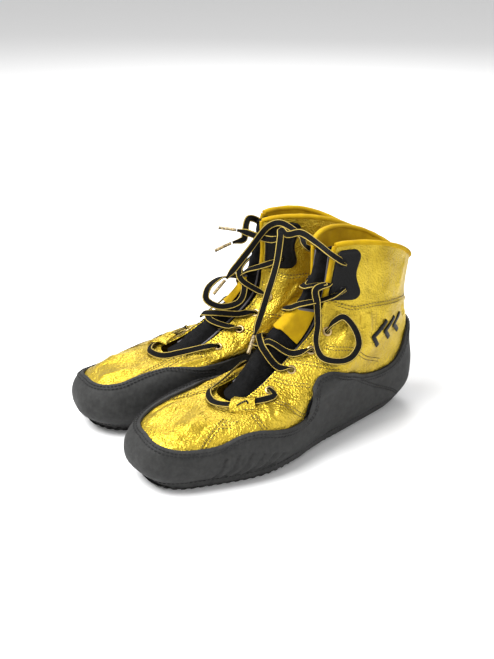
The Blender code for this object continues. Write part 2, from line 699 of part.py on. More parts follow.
def split_off(route, length):
    """A route cut a gap short of its last stretch, and that last stretch."""
    steps = np.linalg.norm(np.diff(route, axis=0), axis=1)
    reach = np.concatenate([[0], np.cumsum(steps)])

    def at(distance):
        return np.array([np.interp(distance, reach, column) for column in route.T])

    cut = reach[-1] - length
    cord = np.vstack([route[reach < cut - 1.5], at(cut - LACE_END_GAP)])
    tip = np.vstack([at(cut), at(cut + length / 2), route[-1]])
    return cord, tip


def make_boot(name, side, settings):
    """One boot, from the sole up, under an empty that stands it in its place."""
    empty = bpy.data.objects.new("boot_" + name, None)
    parts.objects.link(empty)
    empty.location = ((side * BOOT_SPACING / 2 - PAIR_CENTRE_X) * MM,
                      (side * BOOT_STAGGER / 2 - PAIR_CENTRE_Y) * MM, 0.0)
    empty.rotation_euler = (0.0, 0.0, side * TOE_OUT)
    boot = {"name": name, "side": side, "empty": empty, **settings}
    make_sole(boot)
    make_rand(boot)
    made = make_upper(boot)
    make_eyelets(boot, made)
    make_tag(boot)
    make_tongue(boot)
    make_laces(boot)


make_boot("left", 1, {
    "tongue_swell": ((4.0, -3.8), (4.3, 2.0), (4.8, 13.0), (5.4, 20.0), (6.0, 19.0), (6.6, 11.0),
                     (7.2, 3.0), (8.0, -3.0)),
    "slack": LEFT_SLACK,
    "side_a": 1,
    "end_a": LEFT_END_A,
    "end_b": LEFT_END_B,
})
make_boot("right", -1, {
    "tongue_swell": ((4.0, -3.8), (4.5, 0.0), (5.4, 2.0), (6.6, 1.0), (8.0, -3.0)),
    "slack": RIGHT_SLACK,
    "side_a": -1,
    "end_a": RIGHT_END_A,
    "end_b": RIGHT_END_B,
})
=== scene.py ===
import bpy
import numpy as np
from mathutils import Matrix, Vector


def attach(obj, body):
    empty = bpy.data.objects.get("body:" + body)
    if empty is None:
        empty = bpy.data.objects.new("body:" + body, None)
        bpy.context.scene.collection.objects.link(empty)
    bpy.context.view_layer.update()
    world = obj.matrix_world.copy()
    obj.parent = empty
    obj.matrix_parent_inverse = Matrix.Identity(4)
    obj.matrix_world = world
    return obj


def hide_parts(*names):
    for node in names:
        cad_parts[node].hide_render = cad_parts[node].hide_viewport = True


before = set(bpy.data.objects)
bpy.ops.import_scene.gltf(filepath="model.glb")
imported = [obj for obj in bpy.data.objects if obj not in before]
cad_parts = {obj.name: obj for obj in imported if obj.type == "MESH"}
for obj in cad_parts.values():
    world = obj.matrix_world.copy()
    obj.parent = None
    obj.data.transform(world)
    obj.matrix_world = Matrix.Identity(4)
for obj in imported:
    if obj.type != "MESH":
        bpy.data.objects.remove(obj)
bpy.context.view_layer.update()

# ---------------------------------------------------------------------------------------------------------
# Studio: a pale floor that meets a white surround, one broad soft light high in front, a weak fill on the
# outer side, a rim light behind, and a camera that looks down on the pair from its outer front corner.

CAMERA_TARGET = (-0.0025, -0.0031, 0.060)
CAMERA_TURN, CAMERA_RISE, CAMERA_AWAY = np.radians(59.9), np.radians(26.0), 0.8355
LENS, LENS_SHIFT = 50.8, 0.0364
LIGHT_TARGET = (0, 0, 0.05)
LIGHTS = (
    ("key_light", (-0.1, -0.9, 1.5), 0.9, 46.0),
    ("fill_light", (1.6, 0.2, 0.9), 1.0, 6.0),
    ("rim_light", (-1.2, 0.9, 1.3), 0.8, 18.0),
)
WORLD_STRENGTH = 0.66
FLOOR_HALF = 6.0

camera = bpy.data.objects.new("camera", bpy.data.cameras.new("camera"))
bpy.context.scene.collection.objects.link(camera)
camera.data.lens = LENS
camera.data.shift_y = LENS_SHIFT
towards = np.array([np.sin(CAMERA_TURN) * np.cos(CAMERA_RISE), -np.cos(CAMERA_TURN) * np.cos(CAMERA_RISE),
                    np.sin(CAMERA_RISE)])
camera.location = Vector(CAMERA_TARGET) + Vector(towards) * CAMERA_AWAY
camera.rotation_euler = Vector(towards).to_track_quat("Z", "Y").to_euler()
bpy.context.scene.camera = camera

for name, stands_at, size, watts in LIGHTS:
    light = bpy.data.objects.new(name, bpy.data.lights.new(name, "AREA"))
    light.data.size = size
    light.data.energy = watts
    light.location = stands_at
    light.rotation_euler = (Vector(stands_at) - Vector(LIGHT_TARGET)).to_track_quat("Z", "Y").to_euler()
    bpy.context.scene.collection.objects.link(light)

world = bpy.data.worlds.new("surround")
world.use_nodes = True
world.node_tree.nodes["Background"].inputs["Color"].default_value = (1.0, 1.0, 1.0, 1.0)
world.node_tree.nodes["Background"].inputs["Strength"].default_value = WORLD_STRENGTH
bpy.context.scene.world = world
bpy.context.scene.view_settings.view_transform = "Standard"

floor_mesh = bpy.data.meshes.new("floor")
floor_corners = [(x * FLOOR_HALF, y * FLOOR_HALF, 0) for x, y in ((-1, -1), (1, -1), (1, 1), (-1, 1))]
floor_mesh.from_pydata(floor_corners, [], [(0, 1, 2, 3)])
floor = bpy.data.objects.new("floor", floor_mesh)
bpy.context.scene.collection.objects.link(floor)
paper = bpy.data.materials.new("studio_paper")
paper.use_nodes = True
matt = paper.node_tree.nodes["Principled BSDF"]
matt.inputs["Base Color"].default_value = (0.86, 0.86, 0.86, 1)
matt.inputs["Roughness"].default_value = 0.9
floor_mesh.materials.append(paper)

# ---------------------------------------------------------------------------------------------------------
# The last: the form that both boots are pulled over. It is a stack of rings from the edge of the sole to the
# rim of the cuff, in millimetres. A place on it is (angle, level): 0 at the heel, 180 at the toe, positive
# outside and negative inside the foot, and the level counts the rings upwards.

SOLE_MIDDLE = 140.0
RINGS = (
    ((16, 9), (276, 10), (21, 28, 44, 38), (26, 27, 40, 42), -6, 2.9, (0, 0)),
    ((4, 20), (287, 22), (25, 31, 50, 45), (29, 29, 45, 49), -8, 2.9, (0, 0)),
    ((1, 34), (283, 39), (25, 31, 49, 43), (29, 28, 43, 47), -8, 2.8, (0, 0)),
    ((3, 52), (258, 51), (26, 31, 46, 38), (29, 28, 40, 42), -8, 2.6, (0, 0)),
    ((6, 73), (201, 57), (27, 32, 39, 31), (29, 30, 37, 33), -5, 2.4, (0, 0)),
    ((9, 90), (158, 78), (27, 32, 33, 24), (28, 31, 33, 24), -2, 2.3, (0, 0)),
    ((15, 101), (127, 103), (28, 30, 28, 18), (28, 28, 28, 18), 0, 2.2, (0, 0)),
    ((10, 122), (115, 134), (21, 24, 21, 16), (27, 27, 26, 20), 0, 2.2, (5, 8)),
    ((5, 138), (113, 165), (18, 20, 15, 13), (30, 28, 26, 24), 0, 2.2, (15, 18)),
)
WIDTH_PLACES = (0.0, 0.1, 0.4, 0.7, 0.92, 1.0)
RIM = len(RINGS) - 1.0
BOOT_SPACING, BOOT_STAGGER, PAIR_MIDDLE, TOE_OUT = 100.2, 4.4, -5.13, np.radians(6.5)
SIDES = (("left", 1), ("right", -1))


def smooth_curve(at, points):
    """Cubic through (place, value) points, level at both ends, that never overshoots a value."""
    knots, values = np.array(points, float).T
    rise = np.diff(values) / np.diff(knots)
    slope = np.zeros_like(values)
    same_way = rise[:-1] * rise[1:] > 0
    total = np.where(same_way, rise[:-1] + rise[1:], 1.0)
    slope[1:-1] = np.where(same_way, 2 * rise[:-1] * rise[1:] / total, 0.0)
    at = np.clip(at, knots[0], knots[-1])
    i = np.clip(np.searchsorted(knots, at, side="right") - 1, 0, len(knots) - 2)
    width = knots[i + 1] - knots[i]
    t = (at - knots[i]) / width
    start = values[i] * (1 + 2 * t) * (1 - t) ** 2 + slope[i] * width * t * (1 - t) ** 2
    return start + values[i + 1] * t * t * (3 - 2 * t) + slope[i + 1] * width * t * t * (t - 1)


def ease(value, start, end):
    """0 before start, 1 after end, and an S between them."""
    t = np.clip((value - start) / (end - start), 0.0, 1.0)
    return t * t * (3 - 2 * t)


def ring_point(ring, angle):
    """A superellipse whose half widths follow a curve along its length, tilted from heel to toe."""
    heel, toe, outer, inner, shift, roundness, rise = ring
    turn = np.radians(angle)
    share = (1 - np.cos(turn)) / 2
    wide = smooth_curve(share, list(zip(WIDTH_PLACES, (outer[0], *outer, outer[-1]))))
    narrow = smooth_curve(share, list(zip(WIDTH_PLACES, (inner[0], *inner, inner[-1]))))
    swell = (1 - np.abs(2 * share - 1) ** roundness).clip(0) ** (1 / roundness)
    outside = np.sin(turn) >= 0
    x = np.where(outside, wide, -narrow) * swell + shift * ease(share, 0.45, 1.0)
    lift = np.where(outside, rise[0], rise[1]) * (4 * share * (1 - share)).clip(0) ** 0.7
    forward = heel[0] + (toe[0] - heel[0]) * share
    return np.stack([x, SOLE_MIDDLE - forward, heel[1] + (toe[1] - heel[1]) * share + lift], -1)


def surface(angle, level):
    """Points of the form: a cubic through the rings at each angle, run on straight below the lowest."""
    angle, level = np.broadcast_arrays(np.asarray(angle, float), np.asarray(level, float))
    rings = np.stack([ring_point(ring, angle) for ring in RINGS])
    last = len(RINGS) - 1
    i = np.clip(np.floor(level).astype(int), 0, last - 1)
    t = (level - i)[..., None]
    before, a, b, after = (np.take_along_axis(rings, np.clip(i + k, 0, last)[None, ..., None], 0)[0]
                           for k in (-1, 0, 1, 2))
    before = np.where((i == 0)[..., None], 2 * a - b, before)
    after = np.where((i == last - 1)[..., None], 2 * b - a, after)
    bend = (2 * before - 5 * a + 4 * b - after) * t * t + (-before + 3 * a - 3 * b + after) * t ** 3
    return np.where(t < 0, a + (b - a) * t, 0.5 * (2 * a + (b - before) * t + bend))


def normal(angle, level):
    """Unit vectors out of the form, from its slopes along the angle and the level."""
    across = surface(np.add(angle, 0.6), level) - surface(np.subtract(angle, 0.6), level)
    upward = surface(angle, np.add(level, 0.02)) - surface(angle, np.subtract(level, 0.02))
    out = np.cross(upward, across)
    return out / np.linalg.norm(out, axis=-1, keepdims=True)


def place(angle, level, out=0.0):
    """The form's point at (angle, level), moved out along its normal."""
    return surface(angle, level) + normal(angle, level) * np.asarray(out, float)[..., None]


def unit(vectors):
    """Vectors made one long."""
    return vectors / np.maximum(np.linalg.norm(vectors, axis=-1, keepdims=True), 1e-9)


def stand(points, side):
    """A boot's millimetres to metres on the floor: mirrored for the right boot, toed out and set apart."""
    x, y, z = np.moveaxis(np.asarray(points, float) * (side, 1, 1), -1, 0)
    cos, sin = np.cos(TOE_OUT), np.sin(side * TOE_OUT)
    return np.stack([x * cos - y * sin + side * BOOT_SPACING / 2,
                     x * sin + y * cos + side * BOOT_STAGGER / 2 - PAIR_MIDDLE, z], -1) / 1000


def add_piece(name, side, points, faces, finish, body, stands_for=(), uv=None, sharp=42):
    """One visual piece from points in a boot's millimetres, faces outwards, on its body and in its slot."""
    points = stand(points, side).reshape(-1, 3)
    corners = np.array([(face[0], b, c) for face in faces for b, c in zip(face[1:], face[2:])])
    first, second, third = np.moveaxis(points[corners], 1, 0)
    if np.einsum("ij,ij->", first, np.cross(second, third)) < 0:
        faces = [face[::-1] for face in faces]
    mesh = bpy.data.meshes.new(name)
    mesh.from_pydata(points.tolist(), [], faces)
    if uv is not None:
        corners = np.concatenate(faces)
        mesh.uv_layers.new(name="UVMap").data.foreach_set("uv", np.reshape(uv, (-1, 2))[corners].ravel())
    mesh.shade_smooth()
    mesh.set_sharp_from_angle(angle=np.radians(sharp))
    piece = bpy.data.objects.new(name, mesh)
    bpy.context.scene.collection.objects.link(piece)
    mesh.materials.append(finish)
    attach(piece, body)
    if stands_for:
        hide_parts(*stands_for)
    return piece


def grid_faces(columns, rows, round_rows=False):
    """Quads over a grid of points whose rows run fastest, closed round across the rows if asked."""
    index = np.arange(columns * rows).reshape(columns, rows)
    if round_rows:
        index = np.hstack([index, index[:, :1]])
    corners = (index[:-1, :-1], index[:-1, 1:], index[1:, 1:], index[1:, :-1])
    return np.stack(corners, -1).reshape(-1, 4).tolist()


def ring_faces(columns, rows):
    """Quads over a grid that is closed round both ways."""
    last, wrap = (columns - 1) * rows, np.arange(rows)
    ahead = np.roll(wrap, -1)
    return (grid_faces(columns, rows, round_rows=True)
            + np.stack([wrap + last, ahead + last, ahead, wrap], -1).tolist())


def reach_along(points):
    """How far along a line each of its points is."""
    return np.concatenate([[0], np.cumsum(np.linalg.norm(np.diff(points, axis=0), axis=1))])


def rounded_shell(outer, inner, bulge=0.2):
    """A closed sheet between two grids of points. Its cut edge is rounded by one more row, set outwards."""
    columns, rows = outer.shape[:2]
    index = np.arange(columns * rows).reshape(columns, rows)
    rim = np.concatenate([index[:-1, 0], index[-1, :-1], index[:0:-1, -1], index[0, :0:-1]])
    top, under = outer.reshape(-1, 3), inner.reshape(-1, 3)
    middle, depth = (top[rim] + under[rim]) / 2, top[rim] - under[rim]
    outward = unit(np.cross(np.roll(middle, -1, 0) - np.roll(middle, 1, 0), depth))
    edge = middle + outward * np.linalg.norm(depth, axis=-1, keepdims=True) * bulge
    here = 2 * columns * rows + np.arange(len(rim))
    ahead, below = np.roll(here, -1), rim + columns * rows
    walls = np.vstack([np.stack([rim, np.roll(rim, -1), ahead, here], -1),
                       np.stack([here, ahead, np.roll(below, -1), below], -1)])
    face = np.array(grid_faces(columns, rows))
    return np.vstack([top, under, edge]), np.vstack([face, face[:, ::-1] + columns * rows, walls]).tolist()


def look_of(slot, colour, roughness, metallic=0.0):
    """A new material for a slot of the record: its nodes, its links and its Principled shader."""
    made = bpy.data.materials.new(slot + "_look")
    made.use_nodes = True
    nodes, links = made.node_tree.nodes, made.node_tree.links
    shader = nodes["Principled BSDF"]
    shader.inputs["Base Color"].default_value = (*colour, 1)
    shader.inputs["Roughness"].default_value = roughness
    shader.inputs["Metallic"].default_value = metallic
    return made, nodes, links, shader


def node(nodes, kind, **settings):
    """A shader node with its settings: an attribute, or an input with its spaces written as underscores."""
    made = nodes.new("ShaderNode" + kind)
    for key, value in settings.items():
        if hasattr(made, key):
            setattr(made, key, value)
        else:
            made.inputs[key.replace("_", " ")].default_value = value
    return made


def mottled(nodes, links, shader, dark, light, scale, detail=6.0, low=0.35, high=0.7):
    """Base colour that drifts between two colours with noise over the piece, in metres of its own place."""
    spot = node(nodes, "TexCoord")
    noise = node(nodes, "TexNoise", Scale=scale, Detail=detail, Roughness=0.6)
    ramp = node(nodes, "ValToRGB")
    ramp.color_ramp.elements[0].position, ramp.color_ramp.elements[1].position = low, high
    ramp.color_ramp.elements[0].color, ramp.color_ramp.elements[1].color = (*dark, 1), (*light, 1)
    links.new(spot.outputs["Object"], noise.inputs["Vector"])
    links.new(noise.outputs["Fac"], ramp.inputs["Fac"])
    links.new(ramp.outputs["Color"], shader.inputs["Base Color"])
    return spot, noise, ramp


def bumped(nodes, links, shader, height, strength, distance, onto=None):
    """A bump from a height output, laid over an earlier bump if there is one."""
    bump = node(nodes, "Bump", Strength=strength, Distance=distance)
    links.new(height, bump.inputs["Height"])
    if onto is not None:
        links.new(onto.outputs["Normal"], bump.inputs["Normal"])
    links.new(bump.outputs["Normal"], shader.inputs["Normal"])
    return bump


# ---------------------------------------------------------------------------------------------------------
# Outsole: one flat sheet of moulded black rubber with a herringbone tread, cemented under the lasted upper.
# Its edge stands a little proud of the upper and is cut in shallow teeth round the toe.

SOLE_COLUMNS, SOLE_ROWS, SOLE_TOP = 320, 70, 4.9
TOP_STRETCH, UNDER_STRETCH, SOLE_BEND = 1.034, 0.985, 6.0
GROOVE_PITCH, GROOVE_DEPTH, GROOVE_SLOPE, GROOVE_MARGIN = 6.5, 1.0, 0.8, (0.02, 0.06)
TOOTH_PITCH, TOOTH_DEPTH, TEETH_START = 7.5, 1.5, (60, 95)

rubber, nodes, links, shader = look_of("black_rubber", (0.022, 0.022, 0.022), 0.68)
spot, _, _ = mottled(nodes, links, shader, (0.017, 0.017, 0.0165), (0.031, 0.031, 0.030), 210.0)
grit = node(nodes, "TexNoise", Scale=1400.0, Detail=3.0)
links.new(spot.outputs["Object"], grit.inputs["Vector"])
bumped(nodes, links, shader, grit.outputs["Fac"], 0.35, 0.0004)
shader.inputs["Specular IOR Level"].default_value = 0.28

for name, side in SIDES:
    share = np.linspace(0.0006, 0.9994, SOLE_COLUMNS)
    share = (1 - np.cos(np.pi * share)) / 2
    turn = np.degrees(np.arccos(1 - 2 * share))
    across = np.linspace(0, 1, SOLE_ROWS)[None, :, None]
    outer_edge, inner_edge = surface(turn, 0.0)[:, None], surface(-turn, 0.0)[:, None]
    flat = outer_edge * (1 - across) + inner_edge * across
    middle = flat.mean(axis=(0, 1))
    wave = np.sin(reach_along(outer_edge[:, 0]) * 2 * np.pi / TOOTH_PITCH)
    teeth = TOOTH_DEPTH * ease(wave, -0.4, 0.4) * ease(turn, *TEETH_START)
    top, under = flat.copy(), flat.copy()
    out_from = flat[..., :2] - middle[:2]
    for sheet, stretch in ((top, TOP_STRETCH), (under, UNDER_STRETCH)):
        sheet[..., :2] = middle[:2] + out_from * stretch
        near_edge = ease(np.abs(2 * across[..., 0] - 1), 0.9, 1.0)
        sheet[..., :2] -= unit(out_from) * (teeth[:, None] * near_edge)[..., None]
    top[..., 2] = SOLE_TOP
    x, y = under[..., 0] + SOLE_BEND * ease(share, 0.4, 1.0)[:, None], under[..., 1]
    wave = np.sin((y + GROOVE_SLOPE * np.abs(x)) * 2 * np.pi / GROOVE_PITCH)
    inside = ease(np.minimum(across[..., 0], 1 - across[..., 0]), *GROOVE_MARGIN)
    under[..., 2] = GROOVE_DEPTH * ease(wave, 0.35, 0.8) * inside
    points, faces = rounded_shell(top, under, bulge=0.12)
    add_piece(name + "_tread_sole", side, points, faces, rubber, name + "_boot", [name + "_outsole"])

# ---------------------------------------------------------------------------------------------------------
# Insole board and footbed: a flat fibre board that the upper is lasted round, and a thin foam footbed with a
# woven top on it. Both are hardly seen and keep the shape of the solids.

foam_look, nodes, links, shader = look_of("foam", (0.09, 0.09, 0.09), 0.9)
spot, noise, _ = mottled(nodes, links, shader, (0.05, 0.05, 0.05), (0.12, 0.12, 0.12), 900.0)
bumped(nodes, links, shader, noise.outputs["Fac"], 0.4, 0.0003)
board_look, nodes, links, shader = look_of("fibre_board", (0.40, 0.33, 0.22), 0.9)
spot, noise, _ = mottled(nodes, links, shader, (0.30, 0.24, 0.15), (0.46, 0.39, 0.27), 400.0)
bumped(nodes, links, shader, noise.outputs["Fac"], 0.3, 0.0003)
for name, side in SIDES:
    for part, look in (("insole", foam_look), ("insole_board", board_look), ("heel_counter", board_look)):
        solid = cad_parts[f"{name}_{part}"]
        solid.data.materials.clear()
        solid.data.materials.append(look)

# ---------------------------------------------------------------------------------------------------------
# Lining: a yellow brushed textile bag from the footbed to the rim, and a black one under the vamp. Both are
# cemented to the back of the leather, so they follow it closely.

LINING_BACK, LINING_THICK = 1.9, 1.1
LINING_FRONT = ((0.0, 138), (2.0, 137), (3.0, 136), (3.9, 135), (4.5, 132), (5.3, 128), (5.85, 125),
                (6.6, 140), (8.0, 141))
LINING_SETBACK, SETBACK_TOP = 8.0, 6.3
LINING_LEVELS, TOE_LINING_LEVELS = (0.02, 7.97), (0.02, 3.88)
TOE_LINING_EDGES = (141, 214)


def patch(left, right, low, high, columns, rows):
    """Grid of (angle, level) between two side edges, functions of level, and two that are of angle."""
    u, v = np.meshgrid(np.linspace(0, 1, columns), np.linspace(0, 1, rows), indexing="ij")
    level = low(0 * u) + (high(0 * u) - low(0 * u)) * v
    angle = left(level) * (1 - u) + right(level) * u
    for _ in range(12):
        level = low(angle) * (1 - v) + high(angle) * v
        angle = left(level) * (1 - u) + right(level) * u
    return angle, level


def along(points):
    """An edge given by points, as a function."""
    return lambda at: smooth_curve(at, points)


def fixed(value):
    """An edge that stays at one value, as a function."""
    return lambda at: np.full_like(np.asarray(at, float), value)


def drift(points, wave, seed):
    """Slow bumps of about unit height: a sum of eight waves in random directions, near one wavelength."""
    rng = np.random.default_rng(seed)
    total = 0.0
    for _ in range(8):
        way = unit(rng.normal(size=3)) * 2 * np.pi / (wave * rng.uniform(0.7, 1.5))
        total = total + np.sin(points @ way + rng.uniform(0, 2 * np.pi))
    return total / 2.8


yellow, nodes, links, shader = look_of("yellow_lining", (0.66, 0.36, 0.002), 0.85)
spot, _, _ = mottled(nodes, links, shader, (0.38, 0.225, 0.001), (0.53, 0.335, 0.0015), 55.0)
weave = node(nodes, "TexNoise", Scale=2200.0, Detail=2.0)
links.new(spot.outputs["Object"], weave.inputs["Vector"])
bumped(nodes, links, shader, weave.outputs["Fac"], 0.45, 0.0004)
shader.inputs["Specular IOR Level"].default_value = 0.2

textile, nodes, links, shader = look_of("black_textile", (0.014, 0.014, 0.015), 0.85)
spot, _, _ = mottled(nodes, links, shader, (0.003, 0.003, 0.0032), (0.008, 0.008, 0.0085), 260.0)
weave = node(nodes, "TexWave", Scale=900.0, Distortion=2.0, Detail=1.0)
links.new(spot.outputs["Object"], weave.inputs["Vector"])
bumped(nodes, links, shader, weave.outputs["Fac"], 0.5, 0.0004)
shader.inputs["Specular IOR Level"].default_value = 0.12

for name, side in SIDES:
    grid = patch(lambda h: LINING_SETBACK * (h < SETBACK_TOP) - smooth_curve(h, LINING_FRONT),
                 along(LINING_FRONT), *map(fixed, LINING_LEVELS), 150, 90)
    face = 0.35 * drift(surface(*grid), 17.0, 3) - LINING_BACK
    points, faces = rounded_shell(place(*grid, face), place(*grid, face - LINING_THICK))
    add_piece(name + "_yellow_lining", side, points, faces, yellow, name + "_boot",
              [name + "_quarter_lining"])
    grid = patch(*map(fixed, TOE_LINING_EDGES), *map(fixed, TOE_LINING_LEVELS), 60, 40)
    points, faces = rounded_shell(place(*grid, -LINING_BACK), place(*grid, -LINING_BACK - LINING_THICK))
    add_piece(name + "_toe_lining", side, points, faces, textile, name + "_boot", [name + "_vamp_lining"])

# ---------------------------------------------------------------------------------------------------------
# Upper: panels of pebbled leather with a gold foil finish, about 1.4 mm thick. They are sewn together with
# double rows, creased over the toes and the ankle, and lasted under at the sole.

LEATHER_BACK, RELIEF_LEAST = 1.4, -1.1
SEAM_VALLEY = (0.9, -0.6)
FOLD_WIDTH, FOLD_DEPTH = 0.9, 1.5
PANEL_LOW, VAMP_TOP, SEAM_LAP = -0.1, 3.9, 0.12
QUARTER_LIFT, CUFF_LIFT = 0.25, 1.1
VAMP_OUTER = ((-0.25, 140), (2.1, 139), (2.75, 138.5), (3.35, 142), (3.7, 149), (3.9, 156))
VAMP_INNER = ((-0.25, -144), (2.0, -144), (2.8, -146), (3.4, -153), (3.9, -160))
CUFF_SEAM = ((0, 6.2), (42, 6.31), (66, 6.38), (93, 6.43), (117, 6.42), (149, 6.66))
THROAT_OUTER = ((3.9, 14.5), (4.5, 12.5), (5.0, 11.0), (5.8, 9.8), (6.6, 9.2), (8.0, 9.2))
THROAT_INNER = ((3.9, 19.0), (4.5, 18.0), (5.0, 16.0), (5.8, 13.5), (6.6, 11.0), (8.0, 10.0))

# Sewn seams as (angle, level) points, with two rows of stitches each, and the folds of the leather: such
# points, how wide the fold is and how far it goes in or out.
SEAMS = (
    ((139, 1.9), (138.5, 2.75), (141, 3.2)),
    ((129.5, 3.3), (122, 2.95), (115.5, 2.48)),
    ((138, 3.86), (126, 3.70), (110, 3.20), (97, 2.4)),
    ((151, 4.55), (135, 4.36), (117, 4.14)),
    ((144.5, 4.99), (124, 4.81), (103, 4.46)),
    ((127.5, 5.38), (101, 5.03), (75, 4.1), (57, 3.43)),
    ((24, 4.0), (30, 3.6), (39, 2.95)),
    ((-145, 1.9), (-146, 2.8), (-152, 3.4), (-159, 3.86)),
    ((-130, 2.9), (-140, 3.25), (-147, 3.62), (-148, 3.85), (-143, 4.06), (-128, 3.7), (-112, 3.2)),
    ((-150, 4.75), (-130, 4.75), (-112, 4.5)),
    ((-128, 5.3), (-104, 5.0), (-75, 4.1), (-57, 3.43)),
)
FOLDS = (
    (((186, 3.5), (177, 3.0), (170, 2.62)), 6.0, -1.9),
    (((196, 3.3), (190, 2.9), (184, 2.6)), 4.5, 1.4),
    (((168, 3.5), (160, 3.05), (152, 2.7)), 7.0, 1.2),
    (((158, 2.62), (150, 2.5), (143, 2.45)), 2.6, -0.9),
    (((172, 2.55), (160, 2.45), (150, 2.3)), 2.2, -0.8),
    (((148, 3.15), (146, 2.6)), 2.4, -0.7),
    (((207, 3.3), (202, 2.9), (198, 2.6)), 3.0, -1.1),
    (((134, 3.0), (132, 2.5)), 2.0, -0.5),
    (((121, 3.75), (113, 3.3), (104, 2.9)), 2.2, -1.0),
    (((124, 3.55), (116, 3.05), (108, 2.65)), 2.0, -0.9),
    (((127, 3.3), (119, 2.9)), 1.8, -0.8),
    (((113, 3.9), (104, 3.5)), 2.0, -0.8),
    (((136, 3.7), (128, 3.55), (120, 3.2)), 2.8, 0.8),
    (((107, 4.2), (100, 3.9)), 2.0, -0.7),
    (((112, 6.3), (109, 5.95), (108, 5.5)), 2.4, -1.5),
    (((105, 6.35), (102, 5.9), (101, 5.6)), 2.4, -1.2),
    (((98, 6.35), (94, 5.9), (92, 5.5)), 3.2, 1.1),
    (((118, 6.2), (117, 5.7), (114, 5.3)), 3.0, 1.2),
    (((86, 6.3), (84, 5.8)), 2.4, -0.8),
    (((40, 6.2), (34, 5.6), (30, 5.1)), 4.0, -1.0),
    (((12, 6.6), (20, 6.0), (34, 5.5)), 5.0, 1.0),
    (((100, 7.9), (97, 7.3), (98, 6.6)), 5.0, -0.8),
    (((40, 7.8), (52, 7.2), (58, 6.6)), 6.0, 0.9),
    (((22, 4.9), (40, 4.6), (60, 4.8)), 3.5, -0.9),
    (((-118, 3.5), (-128, 3.35), (-138, 3.1)), 2.6, -1.2),
    (((-122, 3.7), (-132, 3.5), (-140, 3.4)), 3.0, 1.1),
    (((-112, 3.9), (-120, 4.3), (-130, 4.6)), 2.8, -0.9),
    (((-104, 3.7), (-108, 4.3), (-116, 4.9)), 3.2, -1.0),
    (((-96, 5.9), (-104, 5.4), (-112, 5.2)), 3.0, -1.2),
    (((-100, 6.3), (-108, 5.8)), 2.8, 1.0),
)


def throat_angle(level, distance):
    """Angle at which the form is a sideways distance from the line down its front, at each level."""
    fine = np.linspace(90.0, 179.5, 360)
    sign = np.sign(distance)
    level = np.atleast_1d(np.asarray(level, float))
    reach = np.abs(surface(sign * fine[:, None], level[None, :])[..., 0] - surface(180.0, level)[..., 0])
    wanted = np.broadcast_to(np.abs(distance), level.shape)
    return sign * np.array([np.interp(w, column[::-1], fine[::-1]) for w, column in zip(wanted, reach.T)])


def front_edge(side):
    """Function of level that gives the angle of a quarter's front edge: the vamp seam, then the throat."""
    seam, throat = (VAMP_OUTER, THROAT_OUTER) if side > 0 else (VAMP_INNER, THROAT_INNER)
    levels = np.linspace(VAMP_TOP, RIM, 24)
    angles = throat_angle(levels, side * smooth_curve(levels, throat))
    return along([p for p in seam if p[0] < VAMP_TOP] + list(zip(levels, angles)))


def smooth_route(points, step):
    """Points about one step apart on a smooth curve through the given ones."""
    points = np.asarray(points, float)
    ends = np.vstack([2 * points[0] - points[1], points, 2 * points[-1] - points[-2]])
    route = [points[:1]]
    for before, a, b, after in zip(ends, ends[1:], ends[2:], ends[3:]):
        span = np.linalg.norm(b - a)
        pieces = max(1, int(np.ceil(span / step)))
        slope_a = (b - before) * span / max(span + np.linalg.norm(a - before), 1e-6)
        slope_b = (after - a) * span / max(span + np.linalg.norm(after - b), 1e-6)
        t = (np.arange(1, pieces + 1) / pieces)[:, None]
        start = a * (1 + 2 * t) * (1 - t) ** 2 + slope_a * t * (1 - t) ** 2
        route.append(start + b * t * t * (3 - 2 * t) + slope_b * t * t * (t - 1))
    return np.concatenate(route)


def even(route, step):
    """A route's points set one even step apart."""
    reach = reach_along(route)
    at = np.linspace(0, reach[-1], max(2, int(round(reach[-1] / step)) + 1))
    return np.stack([np.interp(at, reach, column) for column in route.T], -1)


ANGLE_MM, LEVEL_MM = 1.2, 14.0


def on_form(points, step):
    """(angle, level) along a smooth line through points on the form, about one step of millimetres apart."""
    scaled = smooth_route(np.array(points, float) * (ANGLE_MM, LEVEL_MM), 1.0) / (ANGLE_MM, LEVEL_MM)
    reach = reach_along(surface(*scaled.T))
    at = np.linspace(0, reach[-1], max(2, int(round(reach[-1] / step)) + 1))
    return np.stack([np.interp(at, reach, column) for column in scaled.T], -1)


def relief(grid, seed):
    """How far the leather stands off the form: soft waves, its folds, and a valley along each seam."""
    points = surface(*grid)
    height = 0.28 * drift(points, 23.0, seed) + 0.10 * drift(points, 7.5, seed + 1)
    lines = [(line, *SEAM_VALLEY) for line in SEAMS]
    lines += [(line, width * FOLD_WIDTH, deep * FOLD_DEPTH) for line, width, deep in FOLDS]
    flat = points.reshape(-1, 3)
    for line, width, deep in lines:
        trail = surface(*on_form(line, 2.0).T)
        inside = (flat > trail.min(0) - 3 * width) & (flat < trail.max(0) + 3 * width)
        near = np.nonzero(np.all(inside, -1))[0]
        if len(near):
            away = np.linalg.norm(flat[near, None] - trail, axis=-1)
            share = np.argmin(away, 1) / (len(trail) - 1)
            fade = 1.0 if width < 1 else ease(share, 0, 0.25) * ease(share, 1, 0.75)
            height.reshape(-1)[near] += deep * fade * np.exp(-(away.min(1) / width) ** 2)
    return np.maximum(height, RELIEF_LEAST)


